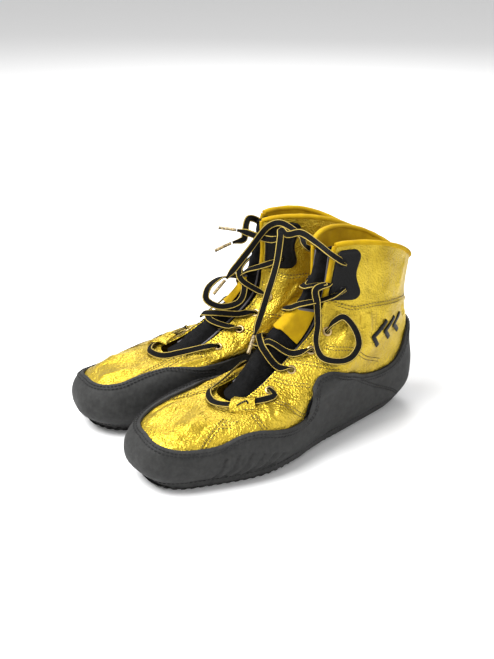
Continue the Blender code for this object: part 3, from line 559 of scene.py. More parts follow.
gold, nodes, links, shader = look_of("gold_leather", (0.66, 0.44, 0.04), 0.38, 0.85)
spot, _, _ = mottled(nodes, links, shader, (0.40, 0.27, 0.016), (0.69, 0.505, 0.05), 34.0, low=0.3, high=0.72)
pebble = node(nodes, "TexVoronoi", Scale=700.0, Randomness=1.0, feature="SMOOTH_F1")
fine = node(nodes, "TexNoise", Scale=480.0, Detail=5.0)
wear = node(nodes, "TexNoise", Scale=170.0, Detail=5.0)
rough = node(nodes, "MapRange", From_Min=0.3, From_Max=0.75, To_Min=0.30, To_Max=0.48)
for texture in (pebble, fine, wear):
    links.new(spot.outputs["Object"], texture.inputs["Vector"])
links.new(wear.outputs["Fac"], rough.inputs["Value"])
links.new(rough.outputs["Result"], shader.inputs["Roughness"])
grain = bumped(nodes, links, shader, pebble.outputs["Distance"], 0.8, 0.0008)
bumped(nodes, links, shader, fine.outputs["Fac"], 0.5, 0.0013, grain)

# One stitch of unit size: a point, two rings of six points and a point again.
CAPSULE = np.array([(-0.5, 0, 0)] + [(x, 0.5 * np.cos(t), 0.5 * np.sin(t)) for x in (-0.34, 0.34)
                                     for t in np.arange(6) * np.pi / 3] + [(0.5, 0, 0)])
CAPSULE_FACES = ([[0, 1 + (i + 1) % 6, 1 + i] for i in range(6)]
                 + [[13, 7 + i, 7 + (i + 1) % 6] for i in range(6)]
                 + [[1 + i, 1 + (i + 1) % 6, 7 + (i + 1) % 6, 7 + i] for i in range(6)])


def stitches(trail, ups, pitch=2.9, long=2.2, wide=0.75, thick=0.6):
    """Points and faces of a row of stitches: a small capsule for each pitch of the trail, lying along it."""
    reach = reach_along(trail)
    at = np.arange(pitch / 2, reach[-1], pitch)
    back, spots, ahead = (np.stack([np.interp(at + step, reach, column) for column in trail.T], -1)
                          for step in (-0.4, 0.0, 0.4))
    up = unit(np.stack([np.interp(at, reach, column) for column in ups.T], -1))
    way = unit(ahead - back)
    beside = unit(np.cross(up, way))
    shape = CAPSULE * (long, wide, thick)
    points = (spots[:, None] + way[:, None] * shape[None, :, :1] + beside[:, None] * shape[None, :, 1:2]
              + up[:, None] * shape[None, :, 2:])
    faces = [[k + len(CAPSULE) * i for k in face] for i in range(len(at)) for face in CAPSULE_FACES]
    return points.reshape(-1, 3), faces


def joined(pieces):
    """Several sets of points and faces as one."""
    points, faces, start = [], [], 0
    for some, others in pieces:
        points.append(some)
        faces += [[k + start for k in face] for face in others]
        start += len(some)
    return np.concatenate(points), faces


def seam_rows(line, out, offsets, **sizes):
    """Rows of stitches beside a line on the form, each at a sideways offset."""
    places = on_form(line, 1.0)
    trail, ups = place(*places.T, out), normal(*places.T)
    beside = unit(np.cross(ups, np.gradient(trail, axis=0)))
    return [stitches(trail + beside * offset, ups, **sizes) for offset in offsets]


thread, nodes, links, shader = look_of("gold_leather", (0.11, 0.075, 0.012), 0.7)
thread.name = "gold_leather_look_thread"
for number, (name, side) in enumerate(SIDES):
    outer, inner = front_edge(1), front_edge(-1)
    seam, inner_seam = along(CUFF_SEAM), along([(-angle, level) for angle, level in CUFF_SEAM[::-1]])
    low = fixed(PANEL_LOW)
    panels = {
        "vamp": (patch(lambda h: outer(h) + 0.3, lambda h: 359.7 + inner(h), low, fixed(VAMP_TOP), 150, 100),
                 0.0),
        "quarter_lateral": (patch(fixed(0.15), outer, low, seam, 210, 150), QUARTER_LIFT),
        "quarter_medial": (patch(inner, fixed(-0.15), low, inner_seam, 210, 150), QUARTER_LIFT),
        "cuff": (patch(inner, outer, lambda a: seam(np.abs(a)) - SEAM_LAP, fixed(RIM), 260, 60), 0.0),
    }
    for part, (grid, lift) in panels.items():
        height = lift + relief(grid, 10 * number + 5)
        if part == "cuff":
            height += CUFF_LIFT * (1 - ease(grid[1] - seam(np.abs(grid[0])), -0.02, 0.06))
        points, faces = rounded_shell(place(*grid, height), place(*grid, height - LEATHER_BACK))
        add_piece(f"{name}_{part}_leather", side, points, faces, gold, name + "_boot", [f"{name}_{part}"])
    rows = []
    for line in SEAMS:
        rows += seam_rows(line, 0.35, (-1.5, 1.5))
    for mirror in (1, -1):
        rows += seam_rows([(mirror * angle, level + 0.05) for angle, level in CUFF_SEAM], 0.8, (-1.4, 1.4))
        edge = front_edge(mirror)
        levels = np.linspace(4.05, 6.3, 12)
        rows += seam_rows([(edge(h) - mirror * 3.2, h) for h in levels], 0.45, (0.0,))
    add_piece(name + "_upper_stitching", side, *joined(rows), thread, name + "_boot")

# ---------------------------------------------------------------------------------------------------------
# Rand: a band of black rubber, just under 3 mm thick, cemented round the upper. It is low at the toe, climbs
# to a point at the outer arch and again at the heel, and is sewn along its upper edge and near the sole.
# RAND_TOP holds (angle, level) along its upper edge, and the angle at the sole under each of these points.

RAND_BOTTOM, RAND_FACE, RAND_BACK, RAND_THINNER, RAND_FOOT = -0.42, 3.8, 0.9, 1.265, 0.9
HEEL_CREASE = ((70, 3.08), (50, 1.7), (24, 0.3))
TOP_ROWS, LOW_ROW_LEVEL, LOW_ROW_OUT = (3.0, 5.6), 0.25, 4.35
RAND_TOP = (
    (-180, 2.40, -180), (-163, 2.46, -163), (-152, 2.65, -152), (-146, 3.05, -146), (-138, 3.30, -138),
    (-112, 3.10, -112), (-96, 3.20, -96), (-66, 3.0, -66), (-43, 2.9, -43), (-35, 3.3, -35), (-29, 3.95, -29),
    (-18, 4.42, -18), (0, 4.55, 0), (18, 4.42, 18), (29, 3.95, 29), (35, 3.3, 35), (42, 2.92, 42),
    (54, 2.84, 53), (67, 3.14, 65), (81, 3.7, 76), (100, 4.27, 85), (111, 4.47, 89), (116.5, 4.38, 92),
    (114, 4.03, 94),
    (107, 3.64, 95), (98.5, 3.1, 96), (94.8, 2.66, 97), (95.5, 2.28, 99), (102, 2.15, 103), (110, 2.32, 110),
    (118, 2.5, 118), (125, 2.42, 125), (132, 2.08, 132), (146, 2.02, 146), (165, 2.2, 165), (180, 2.38, 180),
)
GRIP_GROOVES = (((127, 0.1), (121, 0.8), (118, 1.5)), ((123, 0.05), (117, 0.7), (113.5, 1.35)),
                ((119, 0.0), (113, 0.6), (109.5, 1.2)), ((115, 0.0), (109, 0.5), (105.5, 1.0)),
                ((137, 0.1), (131, 0.75), (128, 1.45)), ((132, 0.1), (126, 0.8), (123, 1.5)))

stitch_black, nodes, links, shader = look_of("black_rubber", (0.006, 0.006, 0.006), 0.8)
stitch_black.name = "black_rubber_look_thread"
for name, side in SIDES:
    scale = (ANGLE_MM, LEVEL_MM, ANGLE_MM)
    edge = smooth_route(np.array(RAND_TOP) * scale, 1.3) / scale
    up = np.linspace(0, 1, 46)
    angle = edge[:, 2:] + (edge[:, :1] - edge[:, 2:]) * np.clip((up - 0.6) / 0.4, 0, 1) ** 2
    level = RAND_BOTTOM + (edge[:, 1:2] - RAND_BOTTOM) * up
    out = RAND_FACE - RAND_THINNER * ease(up, 0.93, 1.02) + RAND_FOOT * ease(up, 0.35, 0.0)
    out = np.broadcast_to(out, angle.shape) + 0.22 * drift(surface(angle, level), 26.0, 8)
    flat = surface(angle, level).reshape(-1, 3)
    lines = [(line, 1.4, -2.0) for line in GRIP_GROOVES] + [(HEEL_CREASE, 0.8, -0.5)]
    for line, width, deep in lines:
        trail = surface(*on_form(line, 1.5).T)
        away = np.min([np.linalg.norm(flat - spot, axis=-1) for spot in trail], 0)
        out = out + deep * np.exp(-(away / width) ** 2).reshape(out.shape)
    ring = np.concatenate([place(angle, level, out), place(angle, level, RAND_BACK)[:, ::-1]], 1)[:-1]
    ring[..., 2] = np.maximum(ring[..., 2], SOLE_TOP - 1.0)
    add_piece(name + "_rand", side, ring.reshape(-1, 3), ring_faces(*ring.shape[:2]), rubber, name + "_boot",
              [name + "_rand_front", name + "_rand_heel"])
    rows = []
    places = on_form([(turn, height) for turn, height, _ in RAND_TOP], 1.0)
    trail, ups = place(*places.T, 3.75), normal(*places.T)
    down = unit(np.cross(ups, np.gradient(trail, axis=0)))
    for offset in TOP_ROWS:
        rows.append(stitches(trail + down * offset, ups, pitch=3.4, long=2.7, wide=1.1, thick=0.9))
    turn = np.linspace(-180, 180, 241)
    low = LOW_ROW_LEVEL + 0 * turn
    rows.append(stitches(place(turn, low, LOW_ROW_OUT), normal(turn, low), pitch=3.6, long=2.7, wide=1.1,
                         thick=0.7))
    for shift in (-1.2, 1.2):
        crease = ((70 + shift, 3.0), (50 + shift, 1.7), (26 + shift, 0.4))
        rows += seam_rows(crease, 3.85, (0.0,), pitch=3.4, long=2.6, wide=0.9, thick=0.7)
    add_piece(name + "_rand_stitching", side, *joined(rows), stitch_black, name + "_boot")

# ---------------------------------------------------------------------------------------------------------
# Collar binding: the yellow lining is rolled over the rim of the cuff as a soft padded edge, and folded over
# the cuff's two front edges as a flat strip.

RIM_ROLL, EDGE_STRIP, STRIP_LOW = (2.6, 2.3), (2.1, 1.75), 6.7
OVAL = np.stack([np.cos(np.arange(14) * 2 * np.pi / 14), np.sin(np.arange(14) * 2 * np.pi / 14)], -1)


def tube_faces(count, size):
    """Faces of a tube of count rings of size points, with its two ends closed."""
    last = (count - 1) * size
    return (grid_faces(count, size, round_rows=True) + [list(range(size))]
            + [[last + k for k in range(size - 1, -1, -1)]])


def carried(trail, sides, ups, profile, swell=None):
    """Points and faces of a closed (sideways, up) profile carried along a trail."""
    swell = np.ones(len(trail)) if swell is None else swell
    ring = (trail[:, None] + sides[:, None] * profile[None, :, :1] * swell[:, None, None]
            + ups[:, None] * profile[None, :, 1:] * swell[:, None, None])
    return ring.reshape(-1, 3), tube_faces(len(trail), len(profile))


for name, side in SIDES:
    outer, inner = front_edge(1), front_edge(-1)
    rolls = []
    turn = np.linspace(float(inner(RIM)) + 0.3, float(outer(RIM)) - 0.3, 300)
    rim, outward = place(turn, RIM + 0 * turn, -1.3), normal(turn, RIM + 0 * turn)
    upward = unit(np.cross(np.gradient(rim, axis=0), outward))
    upward *= np.sign(upward[:, 2:])
    wobble = 1 + 0.05 * drift(rim, 12.0, 4)
    rolls.append(carried(rim + upward * 0.2, outward, upward, OVAL * RIM_ROLL, wobble))
    for mirror, edge in ((1, outer), (-1, inner)):
        levels = np.linspace(STRIP_LOW, RIM - 0.02, 60)
        angles = edge(levels)
        strip, outward = place(angles, levels, -0.9), normal(angles, levels)
        forward = unit(np.cross(outward, np.gradient(strip, axis=0))) * -mirror
        rolls.append(carried(strip - forward * 0.6, forward, outward, OVAL * EDGE_STRIP))
    add_piece(name + "_collar_binding", side, *joined(rolls), yellow, name + "_boot")

# ---------------------------------------------------------------------------------------------------------
# Lace patches: two black moulded patches on the cuff, hourglass in outline, with a raised border. Each has
# two lace holes with moulded rings. Below them four brass eyelets are set in each quarter.

EYELET_LEVELS, EYELET_EDGE = (4.2, 4.75, 5.3, 5.85), 7.0
PATCH_HOLES = ((127.0, 6.9), (130.0, 7.55))
PATCH_LOW, PATCH_HIGH, PATCH_BACK, PATCH_WAIST, PATCH_INSET = 6.66, 7.86, 109.0, 6.0, 4.0


def throat_gap(side, level):
    """Sideways distance from the middle of the boot to a quarter's front edge."""
    return smooth_curve(level, THROAT_OUTER if side > 0 else THROAT_INNER)


def sideways(level, distance):
    """Angles at sideways distances from the middle of the boot, one for each level."""
    level, distance = np.broadcast_arrays(np.atleast_1d(np.asarray(level, float)), distance)
    return throat_angle(level, np.where(distance == 0, 0.05, distance))


def lace_holes(side):
    """(angle, level) of one side's four eyelets, from the vamp up, and of the two holes in its lace patch."""
    levels = np.array(EYELET_LEVELS)
    angles = sideways(levels, side * (throat_gap(side, levels) + EYELET_EDGE))
    return list(zip(angles, levels)) + [(side * angle, level) for angle, level in PATCH_HOLES]


def lathe(centre, axis, profile, count=28):
    """Points and faces of a (radius, height) profile turned about an axis through a centre."""
    across = unit(np.cross(axis, (0.3, 0.5, 0.8)))
    beside = np.cross(axis, across)
    turn = np.linspace(0, 2 * np.pi, count, endpoint=False)
    round_about = np.cos(turn)[:, None] * across + np.sin(turn)[:, None] * beside
    radius, height = np.array(profile, float).T
    ring = centre + round_about[:, None] * radius[None, :, None] + axis * height[None, :, None]
    return ring.reshape(-1, 3), ring_faces(count, len(radius))


brass, nodes, links, shader = look_of("brass", (0.62, 0.47, 0.22), 0.3, 1.0)
mottled(nodes, links, shader, (0.50, 0.36, 0.15), (0.72, 0.56, 0.28), 300.0)
patch_look, nodes, links, shader = look_of("black_rubber", (0.003, 0.003, 0.003), 0.45)
shader.inputs["Specular IOR Level"].default_value = 0.18
patch_look.name = "black_rubber_look_patch"
speck = node(nodes, "TexNoise", Scale=900.0, Detail=3.0)
spot = node(nodes, "TexCoord")
links.new(spot.outputs["Object"], speck.inputs["Vector"])
bumped(nodes, links, shader, speck.outputs["Fac"], 0.35, 0.0004)
# Painted shade: a near-black disc is set in every eyelet and patch hole to stand for the dark inside the
# hole.
dark, nodes, links, shader = look_of("black_textile", (0.004, 0.004, 0.004), 0.9)
dark.name = "black_textile_look_hole_shade"
# (radius, height) outlines of an eyelet, of the near-black disc painted into a hole as the shade inside it,
# and of a moulded ring.
RING = ((2.05, -1.6), (2.05, 0.75), (2.5, 1.0), (3.3, 0.95), (3.95, 0.6), (4.15, 0.1), (4.1, -0.2),
        (2.7, -0.2), (2.7, -1.6))
HOLE_SHADE_DISC = ((0.01, -0.25), (2.3, -0.25), (2.3, -0.6), (0.01, -0.6))
MOULDED = ((1.9, 0.0), (1.9, 0.7), (2.3, 1.0), (2.9, 1.0), (3.5, 0.5), (3.7, 0.0))
for name, side in SIDES:
    holes = []
    for mirror, word in ((1, "lateral"), (-1, "medial")):
        edge = front_edge(mirror)
        u, v = np.meshgrid(np.linspace(0, 1, 44), np.linspace(0, 1, 60), indexing="ij")
        ends = 2.88 * np.abs(2 * v - 1) ** 9
        level = PATCH_LOW + (PATCH_HIGH - PATCH_LOW) * v
        level = level + (0.5 - v) * 0.12 * np.abs(2 * u - 1) ** 7
        behind = PATCH_BACK + PATCH_WAIST * np.sin(np.pi * v) ** 2 + ends
        ahead = np.abs(edge(level)) - PATCH_INSET - ends * 0.6
        angle = mirror * (behind + (ahead - behind) * u)
        border = np.minimum(np.minimum(u, 1 - u) * 1.4, np.minimum(v, 1 - v) * 1.8)
        raised = 1.25 + 0.45 * np.exp(-((border - 0.06) / 0.05) ** 2) - 0.35 * ease(border, 0.06, 0.0)
        cell = np.sin(u * 46) * np.sin(v * 64)
        raised = raised + 0.10 * cell * ease(border, 0.12, 0.2)
        points, faces = rounded_shell(place(angle, level, raised), place(angle, level, 0.1))
        add_piece(f"{name}_{word}_lace_patch", side, points, faces, patch_look, name + "_boot",
                  [f"{name}_lace_patch_{word}"])
        rings, moulded = [], []
        for number, spot in enumerate(lace_holes(mirror)):
            centre, axis = place(*spot, 0.35), normal(*spot)
            if number < len(EYELET_LEVELS):
                rings.append(lathe(centre, axis, RING))
                holes.append(lathe(centre + axis * 0.3, axis, HOLE_SHADE_DISC))
            else:
                moulded.append(lathe(centre + axis * 0.9, axis, MOULDED))
                holes.append(lathe(centre + axis * 1.6, axis, HOLE_SHADE_DISC))
        add_piece(f"{name}_{word}_eyelets", side, *joined(rings), brass, name + "_boot",
                  [f"{name}_eyelet_{word}_{i}" for i in (1, 2, 3, 4)])
        add_piece(f"{name}_{word}_patch_rings", side, *joined(moulded), patch_look, name + "_boot")
    add_piece(name + "_hole_shade_discs", side, *joined(holes), dark, name + "_boot")

# ---------------------------------------------------------------------------------------------------------
# Lace tag: a folded leather tab sewn over the foot of the throat, with the lace running through its fold, and
# three nested chevrons of black rubber foil on the outside of each quarter, with a small one on the tag.

TAG_LOW, TAG_HIGH = ((129, 3.36), (147, 4.0)), ((148, 3.5), (169, 4.0))
TAG_MIDDLE, TAG_RISE = 3.75, 4.2
CHEVRON_AT, CHEVRON_HALF, CHEVRON_REACH, CHEVRON_STEP, CHEVRON_TURN = 5.22, 0.62, 11.0, 13.0, 71
FLAT_STRIP = np.array(((-2.0, -0.4), (2.0, -0.4), (2.0, 0.35), (1.6, 0.6), (-1.6, 0.6), (-2.0, 0.35)))


def tag_lift(level):
    """How far the tag's outer face stands off the form: flat at its sewn ends and raised over the lace."""
    return 1.6 + TAG_RISE * (1 - ease(np.abs(level - TAG_MIDDLE), 0.05, 0.3))


def bent_mark(corners, count, lift, size):
    """A flat strip laid over the form along two straight lines that meet at the second of three corners."""
    start, bend, end = np.array(corners, float)
    share = np.linspace(0, 1, count)[:, None]
    spots = np.vstack([start + (bend - start) * share, bend + (end - bend) * share[1:]])
    trail, ups = place(*spots.T, lift(spots[:, 1])), normal(*spots.T)
    return carried(trail, unit(np.cross(ups, np.gradient(trail, axis=0))), ups, FLAT_STRIP * size)


for name, side in SIDES:
    u, v = np.meshgrid(np.linspace(0, 1, 40), np.linspace(0, 1, 60), indexing="ij")
    low, high = (np.array(pair[0]) * (1 - v[..., None]) + np.array(pair[1]) * v[..., None]
                 for pair in (TAG_LOW, TAG_HIGH))
    angle, level = np.moveaxis(low * (1 - u[..., None]) + high * u[..., None], -1, 0)
    lift = tag_lift(level)
    points, faces = rounded_shell(place(angle, level, lift), place(angle, level, lift - 1.3), bulge=0.35)
    add_piece(name + "_tag", side, points, faces, gold, name + "_boot", [name + "_lace_tag"])
    rows = seam_rows(((131, 3.41), (140, 3.46), (147.5, 3.52)), 1.9, (-0.8,))
    for low in (3.02, 2.90, 2.78):
        rows += seam_rows(((131, low), (139, low + 0.06)), 0.5, (0.0,), pitch=3.1)
    add_piece(name + "_tag_stitching", side, *joined(rows), thread, name + "_boot")
    marks = []
    for k in (-1, 0, 1):
        middle = CHEVRON_TURN + k * CHEVRON_STEP
        corners = ((middle - CHEVRON_REACH, CHEVRON_AT + CHEVRON_HALF + 0.02 * k), (middle, CHEVRON_AT),
                   (middle - CHEVRON_REACH, CHEVRON_AT - CHEVRON_HALF))
        marks.append(bent_mark(corners, 24, lambda level: 0.75, 1.0))
    corners = ((139.5, 3.60), (143.5, 3.69), (147.0, 3.60))
    marks.append(bent_mark(corners, 8, lambda level: tag_lift(level) + 0.2, 0.4))
    add_piece(name + "_chevrons", side, *joined(marks), patch_look, name + "_boot")

# ---------------------------------------------------------------------------------------------------------
# Tongue: a padded black textile tongue, stitched in at the foot of the throat, with a bound edge painted grey
# as the light it catches (painted highlight), and on its face a yellow keeper loop that the lace is meant to
# run through. The left one stands up, pushed forward.

TONGUE_DEPTH, TONGUE_THICK, TONGUE_WING = 4.9, 3.0, 3.5
TONGUE_LOW, TONGUE_HIGH = 4.0, 7.95
TONGUE_SWELL = {
    "left": ((4.0, -3.8), (4.3, 2.0), (4.8, 13.0), (5.4, 20.0), (6.0, 19.0), (6.6, 11.0), (7.2, 3.0),
             (8.0, -3.0)),
    "right": ((4.0, -3.8), (4.5, 0.0), (5.4, 2.0), (6.6, 1.0), (8.0, -3.0)),
}


def tongue_point(name, level, distance, out=0.0):
    """Point off the tongue's face: its wings lie under the quarters and its middle swells forward."""
    level, distance = np.broadcast_arrays(np.atleast_1d(np.asarray(level, float)), distance)
    gap = np.where(distance > 0, throat_gap(1, level), throat_gap(-1, level))
    stands = (name == "left") & (distance < 0)
    middle = 1 - ease(np.abs(distance) / gap, np.where(stands, 0.74, 0.55), np.where(stands, 0.99, 0.92))
    swell = (smooth_curve(level, TONGUE_SWELL[name]) + TONGUE_DEPTH) * middle
    forward = normal(180.0, level) * (0, 1, 1)
    return place(sideways(level, distance), level, out - TONGUE_DEPTH) + forward * swell[:, None]


def tongue_grid(name, low, high, left, right, columns, rows, out):
    """Points off the tongue's face between two levels and two side edges, given as shares of the throat."""
    levels = np.linspace(low, high, rows)
    wing = TONGUE_WING * (1 - 0.9 * ease(levels, 6.2, 6.7))
    lines = []
    for share in np.linspace(left, right, columns):
        mirror = 1 if share > 0 else -1
        gap = throat_gap(mirror, levels)
        distance = share * gap if abs(share) <= 1 else mirror * (gap + (abs(share) - 1) * wing)
        lines.append(tongue_point(name, levels, distance, out))
    return np.array(lines)


def lifted(grid, height):
    """A grid of points moved forward along its own normals."""
    out = unit(np.cross(np.gradient(grid, axis=1), np.gradient(grid, axis=0)))
    return grid + out * np.where(out[..., 1:2] > 0, -height, height)


# Painted highlight: the piping along the tongue's sides and the keeper's top edge is grey to stand for light
# on those rounded edges.
painted_edge_highlight, nodes, links, shader = look_of("black_textile", (0.10, 0.095, 0.105), 0.7)
painted_edge_highlight.name = "black_textile_look_edge_highlight"
for name, side in SIDES:
    body = name + "_tongue"
    face, back = (tongue_grid(name, TONGUE_LOW, TONGUE_HIGH, 2.0, -2.0, 49, 90, out)
                  for out in (0.0, -TONGUE_THICK))
    soft = 0.35 * drift(face, 14.0, 21)[..., None] * unit(face - back)
    quilt = 0.25 * np.sin(np.linspace(0, 26 * np.pi, 90))[None, :, None] * unit(face - back)
    points, faces = rounded_shell(face + soft + quilt, back)
    add_piece(name + "_tongue_padding", side, points, faces, textile, body, [name + "_tongue"])
    face = tongue_grid(name, 5.5, 6.38, 0.82, -0.55, 60, 40, 0.0)
    points, faces = rounded_shell(lifted(face, 2.1), lifted(face, 0.9), bulge=0.4)
    add_piece(name + "_keeper", side, points, faces, yellow, body, [name + "_tongue_keeper"])
    lines = []
    for share in (-0.86, 0.9):
        trail = tongue_grid(name, 4.15, 7.9, share, share, 1, 110, 0.7)[0]
        ups = unit(tongue_grid(name, 4.15, 7.9, share, share, 1, 110, 1.7)[0] - trail)
        lines.append(carried(trail, unit(np.cross(ups, np.gradient(trail, axis=0))), ups, OVAL * (0.9, 0.8)))
    add_piece(name + "_tongue_piping", side, *joined(lines), painted_edge_highlight, body)
    top = lifted(face, 1.5)[:, -1]
    ups = unit(lifted(face, 2.5)[:, -1] - top)
    beside = unit(np.cross(ups, np.gradient(top, axis=0)))
    add_piece(name + "_keeper_highlit_edge", side, *carried(top, beside, ups, OVAL * (1.2, 1.0)), painted_edge_highlight, body)

# ---------------------------------------------------------------------------------------------------------
# Laces: flat woven black laces about 7 mm wide with a gold line along each edge, one a boot. Each runs under
# its tag, up through its eyelets and patch holes, and leaves two loose ends that lie over the pair.

LACE_WIDE, LACE_THICK, LACE_OVER, LACE_UNDER = 6.4, 1.5, 3.4, 5.0
# The run under the tag and the left boot's slack loop are (angle, level, height off the form). The right
# boot's slack loop and the loose ends are plain points.
TAG_RUN = ((205, 3.95, 3.4), (195, 3.78, 3.2), (178, 3.72, 3.0), (163, 3.72, 2.9), (148, 3.75, 2.6),
           (132, 3.88, 2.9))
SLACK = {
    "left": ((131, 6.12, 6.0), (124, 6.26, 7.0), (113, 5.9, 7.5), (102, 5.25, 7.0), (102, 4.8, 6.0),
             (112, 4.8, 6.5), (124, 4.98, 6.0), (137, 5.48, 6.5), (151, 6.08, 8.0), (161, 6.66, 8.5),
             (166, 7.02, 9.0)),
    "right": ((17, 19, 108), (4, 2, 115), (-5, -10, 118), (-10, -22, 113), (-15, -26, 104), (-20, -14, 97),
              (-20, 4, 99), (-9, 14, 108), (8, 18, 115)),
}
LOOSE_ENDS = {
    "left_lace_end_a": (1, ((19, 38, 160), (14, 31, 166), (-5, 32, 170), (-27, 33, 173), (-47, 34, 166),
                            (-58, 36, 167), (-50, 29, 163), (-36, 14, 146), (-22, -7, 127), (-8, -28, 109),
                            (3, -45, 94))),
    "left_lace_end_b": (-1, ((-27, 37, 161), (-38, 43, 164), (-54, 41, 170), (-65, 38, 171), (-72, 31, 166),
                             (-76, 15, 148), (-80, -2, 129), (-84, -19, 111))),
    "right_lace_end_a": (-1, ((-29, 38, 157), (-26, 32, 156), (-16, 24, 157), (-6, 16, 159), (3, 7, 160),
                              (12, -2, 160))),
    "right_lace_end_b": (1, ((18, 37, 161), (13, 27, 164), (4, 20, 155), (0, 17, 150), (1, 6, 148),
                             (3, -10, 142))),
}
AGLET_LONG, AGLET_WIDE, END_GAP = 17.0, 3.0, 0.35
BAND = np.array([(np.sign(np.cos(t)) * abs(np.cos(t)) ** 0.5 / 2,
                  np.sign(np.sin(t)) * abs(np.sin(t)) ** 0.8 / 2) for t in np.arange(20) * np.pi / 10])


def through(hole, inwards):
    """The lace's way through a hole, along its axis."""
    points = [place(*hole, out) for out in (LACE_OVER, -LACE_UNDER)]
    return points if inwards else points[::-1]


def crossing(name, start, end, side, over):
    """The lace's way over the tongue from a hole on one side to a hole on the other."""
    points = []
    for share, way in ((0.16, 1.0), (0.34, 0.5), (0.5, 0.0), (0.66, -0.5), (0.84, -1.0)):
        level = start[1] + (end[1] - start[1]) * share
        on = side if way >= 0 else -side
        distance = on * float(throat_gap(on, level)) * abs(way)
        if abs(way) < 1:
            points.append(tongue_point(name, level, distance, 3.6 + over)[0])
        else:
            points.append(place(sideways(level, distance)[0], level, 3.4))
    return points


def under(hole, following):
    """Point half way between two holes, behind the leather."""
    return place((hole[0] + following[0]) / 2, (hole[1] + following[1]) / 2, -LACE_UNDER - 0.7)


def lace_half(name, side):
    """One half of the lace, from the tag to the upper hole of the lace patch, as a list of points."""
    near, far = lace_holes(side), lace_holes(-side)
    over = 2.2 if side > 0 else 0.0
    route = through(near[0], True) + [under(near[0], near[1])] + through(near[1], False)
    route += crossing(name, near[1], far[2], side, over)
    route += through(far[2], True) + [under(far[2], far[3])] + through(far[3], False)
    if side < 0:
        route += [place(*point) if name == "left" else np.array(point, float) for point in SLACK[name]]
    top = (0.0, 7.15) if side < 0 and name == "left" else far[3]
    route += crossing(name, top, near[4], -side, over)
    return route + through(near[4], True) + [under(near[4], near[5])] + through(near[5], False)


def woven_band(trail, facing, holes, twist=0.0):
    """Flat lace along a trail: a rounded rectangle turned to face a way, drawn in where it passes a hole."""
    way = unit(np.gradient(trail, axis=0))
    ups = facing - way * np.sum(facing * way, -1, keepdims=True)
    for _ in range(24):
        ups = unit(ups)
        ups[1:-1] = ups[:-2] + ups[1:-1] * 1.2 + ups[2:]
        ups -= way * np.sum(ups * way, -1, keepdims=True)
    ups = unit(ups)
    beside = np.cross(way, ups)
    reach = reach_along(trail)
    roll = twist * np.sin(reach / 17.0 + twist * 9)[:, None]
    beside, ups = beside * np.cos(roll) + ups * np.sin(roll), ups * np.cos(roll) - beside * np.sin(roll)
    near = np.min([np.linalg.norm(trail - hole, axis=-1) for hole in holes], 0)
    open_out = ease(near, 2.0, 11.0)[:, None, None]
    wide, thick = LACE_WIDE * (0.46 + 0.54 * open_out), LACE_THICK * (1.7 - 0.7 * open_out)
    ring = (trail[:, None] + beside[:, None] * BAND[None, :, :1] * wide
            + ups[:, None] * BAND[None, :, 1:] * thick)
    across = np.broadcast_to(BAND[:, 0] + 0.5, ring.shape[:2])
    uv = np.stack([np.broadcast_to(reach[:, None] / LACE_WIDE, ring.shape[:2]), across], -1)
    return ring.reshape(-1, 3), tube_faces(len(trail), len(BAND)), uv


lace_look, nodes, links, shader = look_of("black_lace", (0.016, 0.016, 0.017), 0.75)
spot = node(nodes, "UVMap")
split = node(nodes, "SeparateXYZ")
centred = node(nodes, "Math", operation="SUBTRACT")
centred.inputs[1].default_value = 0.5
away = node(nodes, "Math", operation="ABSOLUTE")
stripe = node(nodes, "ValToRGB")
stripe.color_ramp.interpolation = "LINEAR"
for position, colour in ((0.0, (0.003, 0.003, 0.003)), (0.37, (0.0045, 0.0045, 0.0045)),
                         (0.385, (0.50, 0.36, 0.07)), (0.45, (0.56, 0.41, 0.09)),
                         (0.475, (0.05, 0.04, 0.02))):
    stop = stripe.color_ramp.elements.new(position)
    stop.color = (*colour, 1)
stripe.color_ramp.elements.remove(stripe.color_ramp.elements[-1])
links.new(spot.outputs["UV"], split.inputs["Vector"])
links.new(split.outputs["Y"], centred.inputs[0])
links.new(centred.outputs["Value"], away.inputs[0])
links.new(away.outputs["Value"], stripe.inputs["Fac"])
links.new(stripe.outputs["Color"], shader.inputs["Base Color"])
mapping = node(nodes, "Mapping")
mapping.inputs["Scale"].default_value = (34.0, 9.0, 1.0)
knit = node(nodes, "TexVoronoi", Scale=1.0, Randomness=0.25)
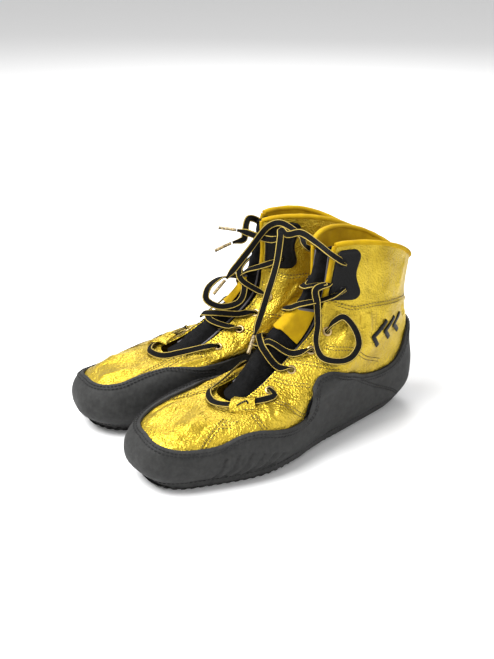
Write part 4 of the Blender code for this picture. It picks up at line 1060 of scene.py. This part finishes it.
links.new(spot.outputs["UV"], mapping.inputs["Vector"])
links.new(mapping.outputs["Vector"], knit.inputs["Vector"])
bumped(nodes, links, shader, knit.outputs["Distance"], 0.7, 0.0005)
shader.inputs["Specular IOR Level"].default_value = 0.12

tip_look, nodes, links, shader = look_of("lace_tip", (0.40, 0.29, 0.12), 0.35)
mottled(nodes, links, shader, (0.06, 0.04, 0.015), (0.46, 0.34, 0.15), 620.0, low=0.42, high=0.60)

for name, side in SIDES:
    run = lace_half(name, -1)[::-1] + [place(*point) for point in TAG_RUN] + lace_half(name, 1)
    trail = even(smooth_route(run, 1.5), 1.8)
    facing = unit(trail - trail * (0, 1, 1) + (0, -25, 35))
    holes = [place(*hole) for mirror in (1, -1) for hole in lace_holes(mirror)]
    points, faces, uv = woven_band(trail, facing, holes, 0.25)
    add_piece(name + "_threaded_lace", side, points, faces, lace_look, name + "_boot",
              [name + "_lace_threaded"], uv)

for title, (mirror, route) in LOOSE_ENDS.items():
    name = title.split("_")[0]
    side = dict(SIDES)[name]
    hole = lace_holes(mirror)[-1]
    start = [place(*hole, LACE_OVER + END_GAP), place(*hole, LACE_OVER + 2.0)]
    trail = even(smooth_route(start + [np.array(point, float) for point in route], 1.5), 1.5)
    reach = reach_along(trail)
    cut = reach[-1] - AGLET_LONG
    cord, tip = trail[reach < cut - 0.6], trail[reach > cut]
    facing = unit(np.array((side * 0.75, -0.5, 0.45))) + 0 * cord
    points, faces, uv = woven_band(cord, facing, [place(*hole), tip[0]], 0.35)
    band = add_piece(title + "_band", side, points, faces, lace_look, name + "_boot", [title], uv)
    ups = unit(np.cross(np.gradient(tip, axis=0), (0.2, 0.4, 0.9)))
    beside = unit(np.cross(ups, np.gradient(tip, axis=0)))
    solid = title.replace("lace_end", "aglet")
    points, faces = carried(tip, beside, ups, OVAL * AGLET_WIDE / 2)
    aglet = add_piece(solid + "_tip", side, points, faces, tip_look, name + "_boot", [solid])
    metres = stand(cord, side)
    stand(place(*hole), side)
